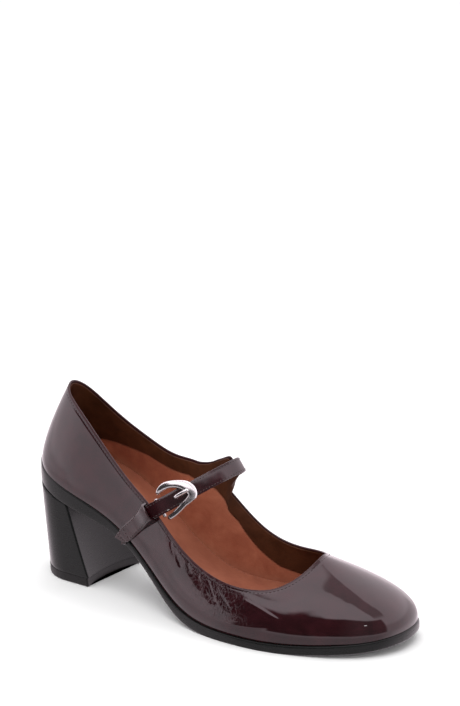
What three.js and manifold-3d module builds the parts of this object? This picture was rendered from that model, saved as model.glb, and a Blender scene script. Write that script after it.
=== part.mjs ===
// Mary jane pump, right shoe. Millimetres; +X to the toe, +Y to the big-toe side, +Z up.
// Tables give x from the back of the heel seat; everything is then moved so that the
// origin is the middle of the heel's ground face.
import * as THREE from "three";
import { mergeVertices } from "three/addons/utils/BufferGeometryUtils.js";
import Module from "manifold-3d";

const wasm = await Module();
wasm.setup();

// ---- driving sizes ----
const HEEL_REST_X = 27;      // middle of the heel's ground face, from the back of the seat
const WALL = 1.8;            // upper leather with lining
const GAP = 0.3;             // between curved pieces
const SOLE_FLARE = 1.4;      // sole edge stands out beyond the upper at the forefoot
const SEAT_FLARE = 0.5;      // and round the heel seat
const BOARD = 4.4;           // insole board with its padding and cover
const LIFT = 5;              // top lift
const OUTSIDE = 1;           // sign of outwards for the order the rows go round
const ROW_STEPS = 4;         // mesh steps between two table rows
const WALL_STEPS = 10;       // mesh steps from featherline to topline

// Featherline, heel back to toe tip: position and height of the upper's lower edge on the
// lateral and medial side, and the thickness of the sole edge below it.
const FEATHER = [
  { xLat: 0.8, lat: 0, zLat: 69.5, xMed: 0.8, med: 0, zMed: 69.5, sole: 10.5 },
  { xLat: 5.2, lat: 12, zLat: 67, xMed: 5.2, med: 12, zMed: 67, sole: 10.5 },
  { xLat: 17, lat: 21.5, zLat: 62, xMed: 17, med: 21.2, zMed: 62, sole: 10.2 },
  { xLat: 36, lat: 25.8, zLat: 56.2, xMed: 36, med: 24.8, zMed: 56.2, sole: 9.2 },
  { xLat: 58, lat: 26.2, zLat: 49.3, xMed: 58, med: 23, zMed: 49.3, sole: 7.4 },
  { xLat: 79, lat: 27, zLat: 38.8, xMed: 79, med: 19.5, zMed: 38.8, sole: 5.2 },
  { xLat: 99, lat: 30, zLat: 24.2, xMed: 100, med: 17.5, zMed: 24.2, sole: 4.2 },
  { xLat: 120, lat: 35.5, zLat: 11.2, xMed: 123, med: 22, zMed: 10.5, sole: 5.6 },
  { xLat: 141, lat: 39.8, zLat: 5.8, xMed: 147, med: 31.5, zMed: 5.4, sole: 5.9 },
  { xLat: 162, lat: 41, zLat: 4.9, xMed: 171, med: 39, zMed: 4.9, sole: 5.2 },
  { xLat: 183, lat: 38.5, zLat: 4.9, xMed: 195, med: 41.5, zMed: 5.2, sole: 5.5 },
  { xLat: 203, lat: 32, zLat: 5.8, xMed: 217, med: 39.4, zMed: 7.3, sole: 5.5 },
  { xLat: 220, lat: 23.7, zLat: 7.4, xMed: 234, med: 32.3, zMed: 9.6, sole: 5.6 },
  { xLat: 234.5, lat: 12, zLat: 9, xMed: 241.8, med: 21.7, zMed: 11, sole: 5.8 },
  { xLat: 243, lat: -5, zLat: 10.8, xMed: 243, med: 5, zMed: 10.8, sole: 5.9 },
];

// Topline, row by row above the featherline.
const TOPLINE = [
  { xLat: 19, lat: 0, zLat: 112.7, xMed: 19, med: 0, zMed: 112.7 },
  { xLat: 21.3, lat: 6.5, zLat: 111, xMed: 21.3, med: 6.5, zMed: 110 },
  { xLat: 28, lat: 11.5, zLat: 106.5, xMed: 28, med: 11.5, zMed: 103.5 },
  { xLat: 43, lat: 16.5, zLat: 97, xMed: 43, med: 15.8, zMed: 91.5 },
  { xLat: 62, lat: 21, zLat: 83, xMed: 61, med: 18.8, zMed: 81 },
  { xLat: 81, lat: 24.5, zLat: 69.5, xMed: 80, med: 19.8, zMed: 74.3 },
  { xLat: 99, lat: 27, zLat: 58, xMed: 101, med: 20, zMed: 71.5 },
  { xLat: 118, lat: 30.4, zLat: 43.7, xMed: 121, med: 23.5, zMed: 54.5 },
  { xLat: 137, lat: 33.2, zLat: 34.3, xMed: 138, med: 27.7, zMed: 39.5 },
  { xLat: 154, lat: 34, zLat: 30.3, xMed: 154, med: 30.5, zMed: 33.6 },
  { xLat: 168, lat: 30.5, zLat: 28.8, xMed: 168, med: 29.5, zMed: 34 },
  { xLat: 179, lat: 22.8, zLat: 29.5, xMed: 179.5, med: 24, zMed: 36.5 },
  { xLat: 187, lat: 12.5, zLat: 34.5, xMed: 187, med: 15, zMed: 40 },
  { xLat: 190.5, lat: 2, zLat: 40, xMed: 190.3, med: 8.5, zMed: 42.3 },
  { xLat: 191, lat: -4, zLat: 42.3, xMed: 191, med: 4, zMed: 42.3 },
];

// Section between the two lines: height of the wall's shoulder, bulge outwards below it,
// lean of the shoulder as a share of the way in, and crown of the part above.
const SECTION = [
  { wall: 16, bulge: -0.6, lean: 0.18, crown: 0.02 },
  { wall: 16, bulge: -0.4, lean: 0.18, crown: 0.02 },
  { wall: 15, bulge: 0.6, lean: 0.17, crown: 0.02 },
  { wall: 13, bulge: 1.4, lean: 0.16, crown: 0.02 },
  { wall: 12, bulge: 1.8, lean: 0.15, crown: 0.02 },
  { wall: 12, bulge: 1.8, lean: 0.16, crown: 0.02 },
  { wall: 13, bulge: 1.8, lean: 0.16, crown: 0.02 },
  { wall: 13, bulge: 2.0, lean: 0.16, crown: 0.02 },
  { wall: 12, bulge: 2.0, lean: 0.10, crown: 0.04 },
  { wall: 13, bulge: 1.8, lean: 0.05, crown: 0.08 },
  { wall: 14, bulge: 1.4, lean: 0.04, crown: 0.08 },
  { wall: 14, bulge: 1.0, lean: 0.03, crown: 0.08 },
  { wall: 15, bulge: 0.8, lean: 0.03, crown: 0.08 },
  { wall: 16, bulge: 0.6, lean: 0.04, crown: 0.075 },
  { wall: 16, bulge: 0.5, lean: 0.05, crown: 0.075 },
];

// Block heel: outline at the ground and where it meets the sole.
const HEEL = {
  ground: { back: 7.3, front: 49, half: 24.4, hollow: 3.5, side: 17 },
  seat: { back: 2.5, front: 33, half: 24.3, hollow: 2, side: 8 },
};

// Tab sewn down the lateral side: from the sole's edge up to its raised mouth at the topline.
// t counts table rows, v is the share of the way up the upper.
const TAB = { width: 9, mouth: 12.4, thick: 1.4, lift: 4.6, tFoot: 4.86, vFoot: -0.1, tTop: 5.95, vTop: 0.98 };

// Instep strap, a flat band bent in one plane: p runs up along the tab, q across the foot,
// both from the tab's mouth.
const STRAP = { width: 9, thick: 1.8, hole: 1.45 };
const STRAP_PATH = [
  { p: -6, q: -0.75 }, { p: -2, q: -0.8 }, { p: 2, q: -0.45 }, { p: 6.4, q: 3 }, { p: 12, q: 10.8 },
  { p: 18, q: 19.5 },
  { p: 23.7, q: 29.5 }, { p: 28.5, q: 39.5 }, { p: 31.2, q: 47.5 }, { p: 30.2, q: 52.3 },
  { p: 26.5, q: 53.8 }, { p: 21, q: 52.3 }, { p: 15, q: 50.9 }, { p: 9, q: 50.1 },
];
const HOLE_PITCH = 8.8;

// Ear of the medial quarter, which the strap starts from: how far each row's topline is drawn
// out of its run, from the front of the ear to the back.
const EAR = [
  { row: 21.1, x: 0, y: 0, z: 0 },
  { row: 21.25, x: -0.4, y: 0, z: 0.8 },
  { row: 21.34, x: 1.2, y: 0, z: 3 },
  { row: 21.44, x: 7, y: 0.1, z: 6.6 },
  { row: 21.54, x: 11.4, y: 0.2, z: 8.8 },
  { row: 21.64, x: 10.9, y: 0.2, z: 10.9 },
  { row: 21.74, x: 10.4, y: 0.2, z: 12.2 },
  { row: 21.88, x: 7.4, y: 0.2, z: 8 },
  { row: 22.05, x: 3.2, y: 0.1, z: 2.6 },
  { row: 22.3, x: 0, y: 0, z: 0 },
];

// Buckle, laid on the strap: s runs along the strap from the bar, w across it, n off it.
const BUCKLE = { tail: 6, fromMouth: 7.2, bar: 1, prong: 0.8 };
const CHAPE = { width: 7, thick: 0.9, slot: 3.6 };
const FRAME = [
  { s: 2.6, w: -6.9, n: -2.8, wide: 1.1, high: 1.1 },
  { s: 4.4, w: -8.3, n: -1.6, wide: 1.6, high: 1.3 },
  { s: 7.2, w: -9.0, n: -0.3, wide: 2.0, high: 1.4 },
  { s: 10.5, w: -8.4, n: 0.8, wide: 2.0, high: 1.5 },
  { s: 14.7, w: -6.2, n: 1.9, wide: 2.3, high: 1.5 },
  { s: 17.8, w: -3.2, n: 2.8, wide: 3.0, high: 1.5 },
  { s: 19.2, w: 0.4, n: 3.2, wide: 3.0, high: 1.5 },
  { s: 18.3, w: 3.2, n: 3.2, wide: 2.6, high: 1.5 },
  { s: 15.4, w: 4.6, n: 2.9, wide: 2.0, high: 1.4 },
  { s: 12.3, w: 5.3, n: 2.3, wide: 1.7, high: 1.3 },
  { s: 8.6, w: 6.5, n: 1.2, wide: 1.6, high: 1.2 },
  { s: 4.4, w: 7.5, n: -0.4, wide: 1.5, high: 1.2 },
  { s: 1.2, w: 7.8, n: -2.3, wide: 1.3, high: 1.1 },
];
const FRAME_TILT = 14;       // degrees the frame's face is turned up from the strap's plane

// ---- small helpers ----
const mix = (a, b, t) => a + (b - a) * t;
const smooth = (x, from, to) => {
  const u = Math.min(1, Math.max(0, (x - from) / (to - from)));
  return u * u * (3 - 2 * u);
};
const mix3 = (a, b, t) => a.map((v, i) => mix(v, b[i], t));
const add = (a, b, k = 1) => a.map((v, i) => v + b[i] * k);
const sub = (a, b) => a.map((v, i) => v - b[i]);
const dot = (a, b) => a[0] * b[0] + a[1] * b[1] + a[2] * b[2];
const len = (a) => Math.sqrt(dot(a, a));
const unit = (a) => a.map((v) => v / (len(a) || 1));
const cross = (a, b) => [
  a[1] * b[2] - a[2] * b[1], a[2] * b[0] - a[0] * b[2], a[0] * b[1] - a[1] * b[0],
];

// Weights that turn table rows into the control rows of a smooth closed curve through them.
function throughRows(rows) {
  const n = rows.length;
  let control = rows.map((r) => r.slice());
  for (let pass = 0; pass < 24; pass += 1) {
    control = control.map((c, i) => c.map((v, k) => {
      const near = (control[(i + n - 1) % n][k] + 4 * v + control[(i + 1) % n][k]) / 6;
      return v + (rows[i][k] - near);
    }));
  }
  return control;
}

// How far the ear draws the topline out at t rows round: a smooth curve through its table.
function earLift(t) {
  const last = EAR.length - 1;
  if (t <= EAR[0].row || t >= EAR[last].row) return [0, 0, 0];
  const i = EAR.findIndex((r) => r.row > t) - 1;
  const span = EAR[i + 1].row - EAR[i].row;
  const u = (t - EAR[i].row) / span;
  const slope = (k, key) => (k <= 0 || k >= last ? 0
    : (EAR[k + 1][key] - EAR[k - 1][key]) / (EAR[k + 1].row - EAR[k - 1].row));
  return ["x", "y", "z"].map((key) => (2 * u ** 3 - 3 * u ** 2 + 1) * EAR[i][key]
    + (u ** 3 - 2 * u ** 2 + u) * span * slope(i, key)
    + (3 * u ** 2 - 2 * u ** 3) * EAR[i + 1][key]
    + (u ** 3 - u ** 2) * span * slope(i + 1, key));
}

// Point of the smooth closed curve at t, counted in rows.
function onClosed(control, t) {
  const n = control.length;
  const i = Math.floor(t);
  const f = t - i;
  const w = [(1 - f) ** 3, 3 * f ** 3 - 6 * f ** 2 + 4, -3 * f ** 3 + 3 * f ** 2 + 3 * f + 1, f ** 3];
  return control[0].map((_, k) => w.reduce(
    (s, wj, j) => s + wj * control[(((i + j - 1) % n) + n) % n][k] / 6, 0));
}

// The rows once round the shoe: heel back, lateral side, toe tip, medial side.
function roundTheShoe() {
  const last = FEATHER.length - 1;
  const lateral = FEATHER.map((f, i) => ({
    foot: [f.xLat, -f.lat, f.zLat],
    rim: [TOPLINE[i].xLat, -TOPLINE[i].lat, TOPLINE[i].zLat],
    sole: f.sole, ...SECTION[i],
  }));
  const medial = FEATHER.map((f, i) => ({
    foot: [f.xMed, f.med, f.zMed],
    rim: [TOPLINE[i].xMed, TOPLINE[i].med, TOPLINE[i].zMed],
    sole: f.sole, ...SECTION[i],
  }));
  return [...lateral, ...medial.slice(1, last).reverse()];
}

const ROWS = roundTheShoe();
const TURNS = ROWS.length;

// Control points of one section, featherline to topline.
function sectionNet(row, i) {
  const run = sub(row.rim, row.foot);
  const next = ROWS[(i + 1) % TURNS].foot;
  const before = ROWS[(i + TURNS - 1) % TURNS].foot;
  const out = unit([next[1] - before[1], before[0] - next[0], 0]).map((v) => v * OUTSIDE);
  const level = (share, height, push) => add(
    [row.foot[0] + run[0] * share, row.foot[1] + run[1] * share, row.foot[2] + height], out, push);
  const rest = run[2] - row.wall;
  return [
    row.foot,
    level(0, row.wall * 0.42, row.bulge),
    level(row.lean, row.wall, row.bulge),
    level(mix(row.lean, 1, 0.38), row.wall + rest * (0.38 + row.crown), 0),
    level(mix(row.lean, 1, 0.7), row.wall + rest * (0.7 + row.crown * 0.6), 0),
    row.rim,
  ].flat();
}
const NET = throughRows(ROWS.map(sectionNet));

// Outer face of the upper at t rows round and share v of the way up.
function outerFace(t, v) {
  const c = onClosed(NET, t);
  const n = 5;
  const choose = [1, 5, 10, 10, 5, 1];
  const p = [0, 0, 0];
  for (let k = 0; k <= n; k += 1) {
    const w = choose[k] * v ** k * (1 - v) ** (n - k);
    for (let a = 0; a < 3; a += 1) p[a] += w * c[k * 3 + a];
  }
  return add(p, earLift(t), v ** 5);
}

// Outward direction of that face.
function outward(t, v) {
  const e = 0.02;
  const along = sub(outerFace(t + e, v), outerFace(t - e, v));
  const up = sub(outerFace(t, Math.min(1, v + e)), outerFace(t, Math.max(0, v - e)));
  return unit(cross(along, up)).map((x) => x * OUTSIDE);
}
const onUpper = (t, v, off) => add(outerFace(t, v), outward(t, v), off);

// ---- mesh builders ----
// Closed skin of a grid of rings (each ring a closed loop), ends joined ring to ring.
function torusSkin(rings) {
  const m = rings.length;
  const n = rings[0].length;
  const index = [];
  for (let i = 0; i < m; i += 1) for (let j = 0; j < n; j += 1) {
    const a = i * n + j;
    const b = i * n + ((j + 1) % n);
    const c = ((i + 1) % m) * n + j;
    const d = ((i + 1) % m) * n + ((j + 1) % n);
    index.push(a, b, d, a, d, c);
  }
  return { points: rings.flat(), index };
}

// Closed skin of stacked loops with flat ends.
function stackSkin(rings) {
  const n = rings[0].length;
  const points = rings.flat();
  const index = [];
  for (let i = 0; i + 1 < rings.length; i += 1) for (let j = 0; j < n; j += 1) {
    const a = i * n + j;
    const b = i * n + ((j + 1) % n);
    index.push(a, b, b + n, a, b + n, a + n);
  }
  const top = (rings.length - 1) * n;
  for (const [cap, flip] of [[0, true], [top, false]]) {
    const flat = rings[cap / n];
    for (const [i, j, k] of capFaces(flat)) {
      index.push(...(flip ? [cap + i, cap + k, cap + j] : [cap + i, cap + j, cap + k]));
    }
  }
  return { points, index };
}

// Triangles across one loop, seen from the side it is flattest to.
function capFaces(loop) {
  const c = loop.reduce((s, p) => add(s, p, 1 / loop.length), [0, 0, 0]);
  let normal = [0, 0, 0];
  loop.forEach((p, i) => {
    normal = add(normal, cross(sub(p, c), sub(loop[(i + 1) % loop.length], c)));
  });
  const u = unit(sub(loop[0], c));
  const w = unit(cross(unit(normal), u));
  const flat = loop.map((p) => new THREE.Vector2(dot(sub(p, c), u), dot(sub(p, c), w)));
  return THREE.ShapeUtils.triangulateShape(flat, []);
}

function volumeOf({ points, index }) {
  let v = 0;
  for (let i = 0; i < index.length; i += 3) {
    v += dot(points[index[i]], cross(points[index[i + 1]], points[index[i + 2]])) / 6;
  }
  return v;
}

function solid(name, skin, look) {
  const { points } = skin;
  const index = volumeOf(skin) > 0 ? skin.index : skin.index.slice().reverse();
  const geometry = new THREE.BufferGeometry();
  const flat = points.flatMap((p) => [p[0] - HEEL_REST_X, p[1], p[2]]);
  geometry.setAttribute("position", new THREE.Float32BufferAttribute(flat, 3));
  geometry.setIndex(index);
  geometry.computeVertexNormals();
  const mesh = new THREE.Mesh(geometry, new THREE.MeshStandardMaterial(look));
  mesh.name = name;
  return mesh;
}

// ---- upper ----
// Mesh rows round the shoe, closer together at the ear.
function upperTurns() {
  const turns = [];
  for (let j = 0; j < TURNS * ROW_STEPS; j += 1) {
    const t = j / ROW_STEPS;
    const extra = t >= 21.25 && t < 22.25 ? 4 : 1;
    for (let k = 0; k < extra; k += 1) turns.push(t + k / (extra * ROW_STEPS));
  }
  return turns;
}

function upperSkin() {
  const rings = [];
  for (const t of upperTurns()) {
    const ring = [];
    for (let i = 0; i <= WALL_STEPS; i += 1) ring.push(onUpper(t, i / WALL_STEPS, 0));
    ring.push(add(onUpper(t, 1, -WALL / 2), unit(sub(outerFace(t, 1), outerFace(t, 0.97))), 0.6));
    for (let i = WALL_STEPS; i >= 0; i -= 1) ring.push(onUpper(t, i / WALL_STEPS, -WALL));
    rings.push(ring);
  }
  return torusSkin(rings);
}

// ---- sole, insole: laid across from the lateral to the medial side ----
const HALF_TURN = FEATHER.length - 1;
const SOLE_ROWS = throughRows(ROWS.map((r) => [r.sole]));
const flare = (t) => mix(SEAT_FLARE, SOLE_FLARE, smooth(onClosed(NET, t)[0], 60, 120))
  - 0.8 * smooth(onClosed(NET, t)[0], 215, 240);

// Edge point beside the featherline, pushed out (or in) and down.
function edgePoint(t, out, down) {
  const foot = outerFace(t, 0);
  const e = 0.05;
  const a = outerFace(t - e, 0);
  const b = outerFace(t + e, 0);
  const n = unit([b[1] - a[1], a[0] - b[0], 0]).map((v) => v * OUTSIDE);
  return [foot[0] + n[0] * out, foot[1] + n[1] * out, Math.max(0, foot[2] - down)];
}

// A plate that follows the featherline: layers are { out, down(t) } from top to bottom.
function plateSkin(layers, start, end, across) {
  const steps = Math.round((end - start) * ROW_STEPS);
  const loops = [];
  for (let s = 0; s <= steps; s += 1) {
    const t = mix(start, end, s / steps);
    const side = (turn) => layers.map((l) => edgePoint(turn, l.out(t), l.down(t)));
    const lateral = side(t);
    const medial = side(TURNS - t);
    const top = [];
    const bottom = [];
    for (let k = 1; k < across; k += 1) {
      top.push(mix3(lateral[0], medial[0], k / across));
      bottom.push(mix3(medial[layers.length - 1], lateral[layers.length - 1], k / across));
    }
    loops.push([...lateral.slice().reverse(), ...top, ...medial, ...bottom]);
  }
  return stackSkin(loops);
}

function outsoleSkin() {
  const thick = (t) => onClosed(SOLE_ROWS, t)[0];
  return plateSkin([
    { out: (t) => flare(t) - 0.6, down: () => GAP },
    { out: flare, down: () => GAP + 0.6 },
    { out: flare, down: (t) => thick(t) - 0.6 },
    { out: (t) => flare(t) - 0.7, down: thick },
  ], 0.02, HALF_TURN - 0.02, 8);
}

function insoleSkin() {
  return plateSkin([
    { out: () => -WALL - GAP - 1.3, down: () => -BOARD },
    { out: () => -WALL - GAP - 0.8, down: () => 0.7 - BOARD },
    { out: () => -WALL - GAP - 0.2, down: () => 0 },
  ], 0.3, HALF_TURN - 0.3, 8);
}

// ---- heel ----
// Outline of the block at share h between ground (0) and seat (1).
function heelLoop(h, heightAt) {
  const g = HEEL.ground;
  const s = HEEL.seat;
  const back = mix(g.back, s.back, h);
  const front = mix(g.front, s.front, h);
  const half = mix(g.half, s.half, h);
  const hollow = mix(g.hollow, s.hollow, h);
  const side = mix(g.side, s.side, h);
  const loop = [];
  const arc = 24;
  for (let i = 0; i <= arc; i += 1) {
    const a = Math.PI * (i / arc) - Math.PI / 2;
    loop.push([front - side - (front - side - back) * Math.cos(a), half * Math.sin(a)]);
  }
  const edge = 8;
  for (let i = 0; i <= edge; i += 1) {
    const y = half * (1 - 2 * i / edge);
    loop.push([front - hollow * (1 - (y / half) ** 2), y]);
  }
  return loop.map(([x, y]) => [x, y, heightAt(x, y, h)]);
}

// Underside of the sole over the heel, by x.
function soleUnder(x) {
  let t = 0;
  for (let i = 0; i < 200; i += 1) {
    if (edgePoint(t, flare(t) - 0.7, 0)[0] >= x) break;
    t += 0.02;
  }
  return edgePoint(t, 0, onClosed(SOLE_ROWS, t)[0])[2];
}

function heelSkin() {
  const loops = [];
  const levels = 8;
  for (let i = 0; i <= levels; i += 1) {
    const h = i / levels;
    loops.push(heelLoop(h, (x) => mix(LIFT + 0.05, soleUnder(x) - GAP, h)));
  }
  // the seat closes over in narrowing loops that keep to the curve of the sole
  const rim = loops[levels];
  const c = [18, 0];
  for (const k of [0.7, 0.35]) {
    loops.push(rim.map(([x, y]) => {
      const near = [mix(c[0], x, k), mix(c[1], y, k)];
      return [...near, soleUnder(near[0]) - GAP];
    }));
  }
  return stackSkin(loops);
}

function liftSkin() {
  return stackSkin([heelLoop(0, () => 0), heelLoop(0.06, () => LIFT - 0.05)]);
}

// ---- lateral tab ----
// A spot on the quarter, or on the sole's edge where v is below the featherline.
function tabSpot(t, v, off) {
  if (v < 0) return edgePoint(t, off + flare(t), -v * 40);
  return onUpper(t, v, off + flare(t) * (1 - smooth(v, 0, 0.15)));
}

// The spot reached from (t, v) by a step across the tab, in millimetres.
function stepAcross(t, v, step, off) {
  const e = 0.02;
  const pt = sub(tabSpot(t + e, v, off), tabSpot(t - e, v, off)).map((x) => x / (2 * e));
  const pv = sub(tabSpot(t, v + e, off), tabSpot(t, v - e, off)).map((x) => x / (2 * e));
  const [a, b, c] = [dot(pt, pt), dot(pt, pv), dot(pv, pv)];
  const [d, f] = [dot(step, pt), dot(step, pv)];
  const det = a * c - b * b;
  return [t + (d * c - f * b) / det, v + (a * f - b * d) / det];
}

function tabSkin() {
  const loops = [];
  const steps = 14;
  const across = 8;
  for (let i = 0; i <= steps; i += 1) {
    const h = i / steps;
    const t = mix(TAB.tFoot, TAB.tTop, h);
    const v = mix(TAB.vFoot, TAB.vTop, h);
    const open = smooth(h, 0.5, 1);
    const half = mix(TAB.width, TAB.mouth, open) / 2;
    const here = tabSpot(t, v, GAP);
    const ahead = unit(sub(tabSpot(t + 0.02, v + 0.02 * 0.99, GAP), here));
    const normal = outward(t, Math.max(0.02, v));
    const side = unit(cross(ahead, normal));
    const inner = [];
    const outer = [];
    for (let k = 0; k <= across; k += 1) {
      const w = -1 + 2 * k / across;
      const [tt, vv] = stepAcross(t, v, side.map((x) => x * half * w), GAP);
      const raise = GAP + TAB.lift * open * (1 - w ** 6);
      const thin = Math.abs(w) === 1 ? 0.7 : 1;
      inner.push(tabSpot(tt, Math.min(vv, 1), raise));
      outer.push(tabSpot(tt, Math.min(vv, 1), raise + TAB.thick * thin));
    }
    loops.push([...inner, ...outer.reverse()]);
  }
  return stackSkin(loops);
}

// ---- strap ----
const MOUTH = onUpper(TAB.tTop, 0.95, GAP + STRAP.thick / 2 + 0.1);
const UP_TAB = unit(sub(MOUTH, onUpper(TAB.tFoot, 0.02, GAP + STRAP.thick / 2 + 0.1)));
const OVER_INSTEP = unit([25.2, 49.2, 19.6]);
const ACROSS = unit(cross(OVER_INSTEP, UP_TAB));
const INWARD = unit(cross(UP_TAB, ACROSS));
const strapCurve = new THREE.SplineCurve(STRAP_PATH.map(({ p, q }) => new THREE.Vector2(p, q)));
const strapLength = strapCurve.getLength();

// Frame on the strap at a length from its free end: point, direction, and the way off it.
function strapFrame(length) {
  const u = Math.min(1, Math.max(0, length / strapLength));
  const at = strapCurve.getPointAt(u);
  const to = strapCurve.getTangentAt(u);
  const point = add(add(MOUTH, UP_TAB, at.x), INWARD, at.y);
  const along = unit(add(UP_TAB.map((v) => v * to.x), INWARD, to.y));
  return { point, along, off: unit(cross(ACROSS, along)) };
}
const onStrap = (length, w, n) => {
  const f = strapFrame(length);
  return add(add(f.point, ACROSS, w), f.off, n);
};

function strapSkin() {
  const loops = [];
  const steps = 44;
  const half = STRAP.width / 2;
  const h = STRAP.thick / 2;
  const c = 0.4;
  for (let i = 0; i <= steps; i += 1) {
    const tip = i === 0 ? 0.55 : i === 1 ? 0.86 : 1;
    const w = half * tip;
    const d = strapLength * i / steps;
    loops.push([
      [w - c, -h], [w, -h + c], [w, h - c], [w - c, h],
      [-w + c, h], [-w, h - c], [-w, -h + c], [-w + c, -h],
    ].map(([x, n]) => onStrap(d, x, n)));
  }
  return stackSkin(loops);
}

// ---- joining and cutting ----
function toManifold({ points, index }) {
  const geometry = new THREE.BufferGeometry();
  geometry.setAttribute("position", new THREE.Float32BufferAttribute(points.flat(), 3));
  geometry.setIndex(volumeOf({ points, index }) > 0 ? index : index.slice().reverse());
  const merged = mergeVertices(geometry, 1e-4);
  return new wasm.Manifold(new wasm.Mesh({
    numProp: 3,
    vertProperties: new Float32Array(merged.attributes.position.array),
    triVerts: new Uint32Array(merged.index.array),
  }));
}

function fromManifold(body) {
  const mesh = body.getMesh();
  const points = [];
  for (let i = 0; i < mesh.vertProperties.length; i += mesh.numProp) {
    points.push([...mesh.vertProperties.slice(i, i + 3)]);
  }
  return { points, index: [...mesh.triVerts] };
}

// Round rod through given centres, each with its own two half sizes and axes.
function rodSkin(sections, sides) {
  return stackSkin(sections.map(({ at, a, b }) => {
    const loop = [];
    for (let k = 0; k < sides; k += 1) {
      const turn = 2 * Math.PI * k / sides;
      loop.push(add(add(at, a, Math.cos(turn)), b, Math.sin(turn)));
    }
    return loop;
  }));
}

const BAR_AT = BUCKLE.tail + BUCKLE.fromMouth;

// Strap with its punched holes.
function punchedStrap() {
  let body = toManifold(strapSkin());
  for (const hole of [-0.2, HOLE_PITCH - 0.2, 2 * HOLE_PITCH - 0.2]) {
    const f = strapFrame(BAR_AT + hole);
    const a = f.along.map((v) => v * STRAP.hole);
    const b = ACROSS.map((v) => v * STRAP.hole);
    const ends = [-2.5, 2.5].map((n) => ({ at: add(f.point, f.off, n), a, b }));
    body = body.subtract(toManifold(rodSkin(ends, 14)));
  }
  return fromManifold(body);
}

// ---- buckle ----
// Place on the buckle: s, w, n measured in the plane of the strap under it.
const base = strapFrame(BAR_AT);
const far = strapFrame(BAR_AT + 17);
const RUN = unit(sub(far.point, base.point));
const LIFTED = unit(cross(ACROSS, RUN));
const onBuckle = (s, w, n) => add(add(add(base.point, RUN, s), ACROSS, w), LIFTED, n);

function frameSkin() {
  const at = new THREE.CatmullRomCurve3(FRAME.map((r) => new THREE.Vector3(r.s, r.w, r.n)));
  const size = new THREE.CatmullRomCurve3(FRAME.map((r) => new THREE.Vector3(r.wide, r.high, 0)));
  const turn = FRAME_TILT * Math.PI / 180;
  const across = add(ACROSS.map((v) => v * Math.cos(turn)), LIFTED, Math.sin(turn));
  const up = add(LIFTED.map((v) => v * Math.cos(turn)), ACROSS, -Math.sin(turn));
  const sections = [];
  const steps = 33;
  for (let i = 0; i <= steps; i += 1) {
    const c = at.getPoint(i / steps);
    const d = at.getTangent(i / steps);
    const r = size.getPoint(i / steps);
    const side = unit([-d.y, d.x, 0]);
    const ends = i === 0 || i === steps ? 0.6 : 1;
    const out = add(RUN.map((v) => v * side[0]), across, side[1]);
    sections.push({
      at: onBuckle(c.x, c.y, c.z),
      a: out.map((v) => v * r.x * ends),
      b: up.map((v) => v * r.y * ends),
    });
  }
  return rodSkin(sections, 10);
}

const BAR_DROP = -(STRAP.thick / 2 + 2 * GAP + CHAPE.thick + BUCKLE.bar);
function barSkin() {
  const a = RUN.map((v) => v * BUCKLE.bar);
  const b = LIFTED.map((v) => v * BUCKLE.bar);
  return rodSkin([-5.3, 6.1].map((w) => ({ at: onBuckle(0.6, w, BAR_DROP), a, b })), 14);
}

// Prong: from beside the bar up through the second hole and on to the frame's front.
const PRONG = [
  { s: 4.6, n: -4.6 }, { s: 7.9, n: -3.2 }, { s: 8.7, n: -0.8 }, { s: 8.9, n: 1.6 },
  { s: 10, n: 4 }, { s: 12.6, n: 5.5 }, { s: 15.2, n: 6.1 }, { s: 17.4, n: 6.1 },
];
// Turns of a hook round the bar: from one angle to another, in degrees, at a radius.
function hook(from, to, radius, count) {
  const turns = [];
  for (let i = 0; i < count; i += 1) {
    const a = mix(from, to, i / (count - 1)) * Math.PI / 180;
    turns.push({ s: 0.6 + radius * Math.cos(a), n: BAR_DROP + radius * Math.sin(a) });
  }
  return turns;
}

function prongSkin() {
  const eye = hook(20, 275, BUCKLE.bar + GAP + 0.6, 7);
  const path = new THREE.CatmullRomCurve3(
    [...eye, ...PRONG].map((r) => new THREE.Vector3(r.s, -0.6, r.n)));
  const sections = [];
  const steps = 34;
  for (let i = 0; i <= steps; i += 1) {
    const c = path.getPoint(i / steps);
    const d = path.getTangent(i / steps);
    const r = mix(0.6, BUCKLE.prong, smooth(i, 12, 20)) * (i === steps ? 0.5 : 1);
    sections.push({
      at: onBuckle(c.x, c.y, c.z),
      a: ACROSS.map((v) => v * r),
      b: unit(sub(onBuckle(-d.z, 0, d.x), onBuckle(0, 0, 0))).map((v) => v * r),
    });
  }
  return rodSkin(sections, 8);
}

// ---- chape: band from inside the quarter up to the bar, hooked round it, slotted for the prong ----
function chapeSkin() {
  const inside = [0.72, 0.8, 0.88, 0.96].map((v) => onUpper(TAB.tTop, v, -WALL - 2 * GAP - CHAPE.thick / 2));
  const round = hook(215, -40, BUCKLE.bar + GAP + CHAPE.thick / 2, 8);
  const turns = round.map((r) => onBuckle(r.s, 0, r.n));
  const flat = ([x, y, z]) => new THREE.Vector3(x, y, z);
  const path = new THREE.CatmullRomCurve3([...inside, ...turns].map(flat));
  const loops = [];
  const steps = 30;
  for (let i = 0; i <= steps; i += 1) {
    const c = path.getPointAt(i / steps).toArray();
    const d = path.getTangentAt(i / steps).toArray();
    const out = unit(cross(ACROSS, d)).map((v) => v * CHAPE.thick / 2);
    const side = ACROSS.map((v) => v * CHAPE.width / 2);
    loops.push([[1, 1], [1, -1], [-1, -1], [-1, 1]].map(([a, b]) => add(add(c, side, a), out, b)));
  }
  const a = LIFTED.map((v) => v * 3.5);
  const b = ACROSS.map((v) => v * CHAPE.slot / Math.SQRT2 / 2);
  const slot = [-4, 6].map((s) => ({ at: onBuckle(s, -0.6, BAR_DROP), a, b }));
  return fromManifold(toManifold(stackSkin(loops)).subtract(toManifold(rodSkin(slot, 4))));
}

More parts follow.
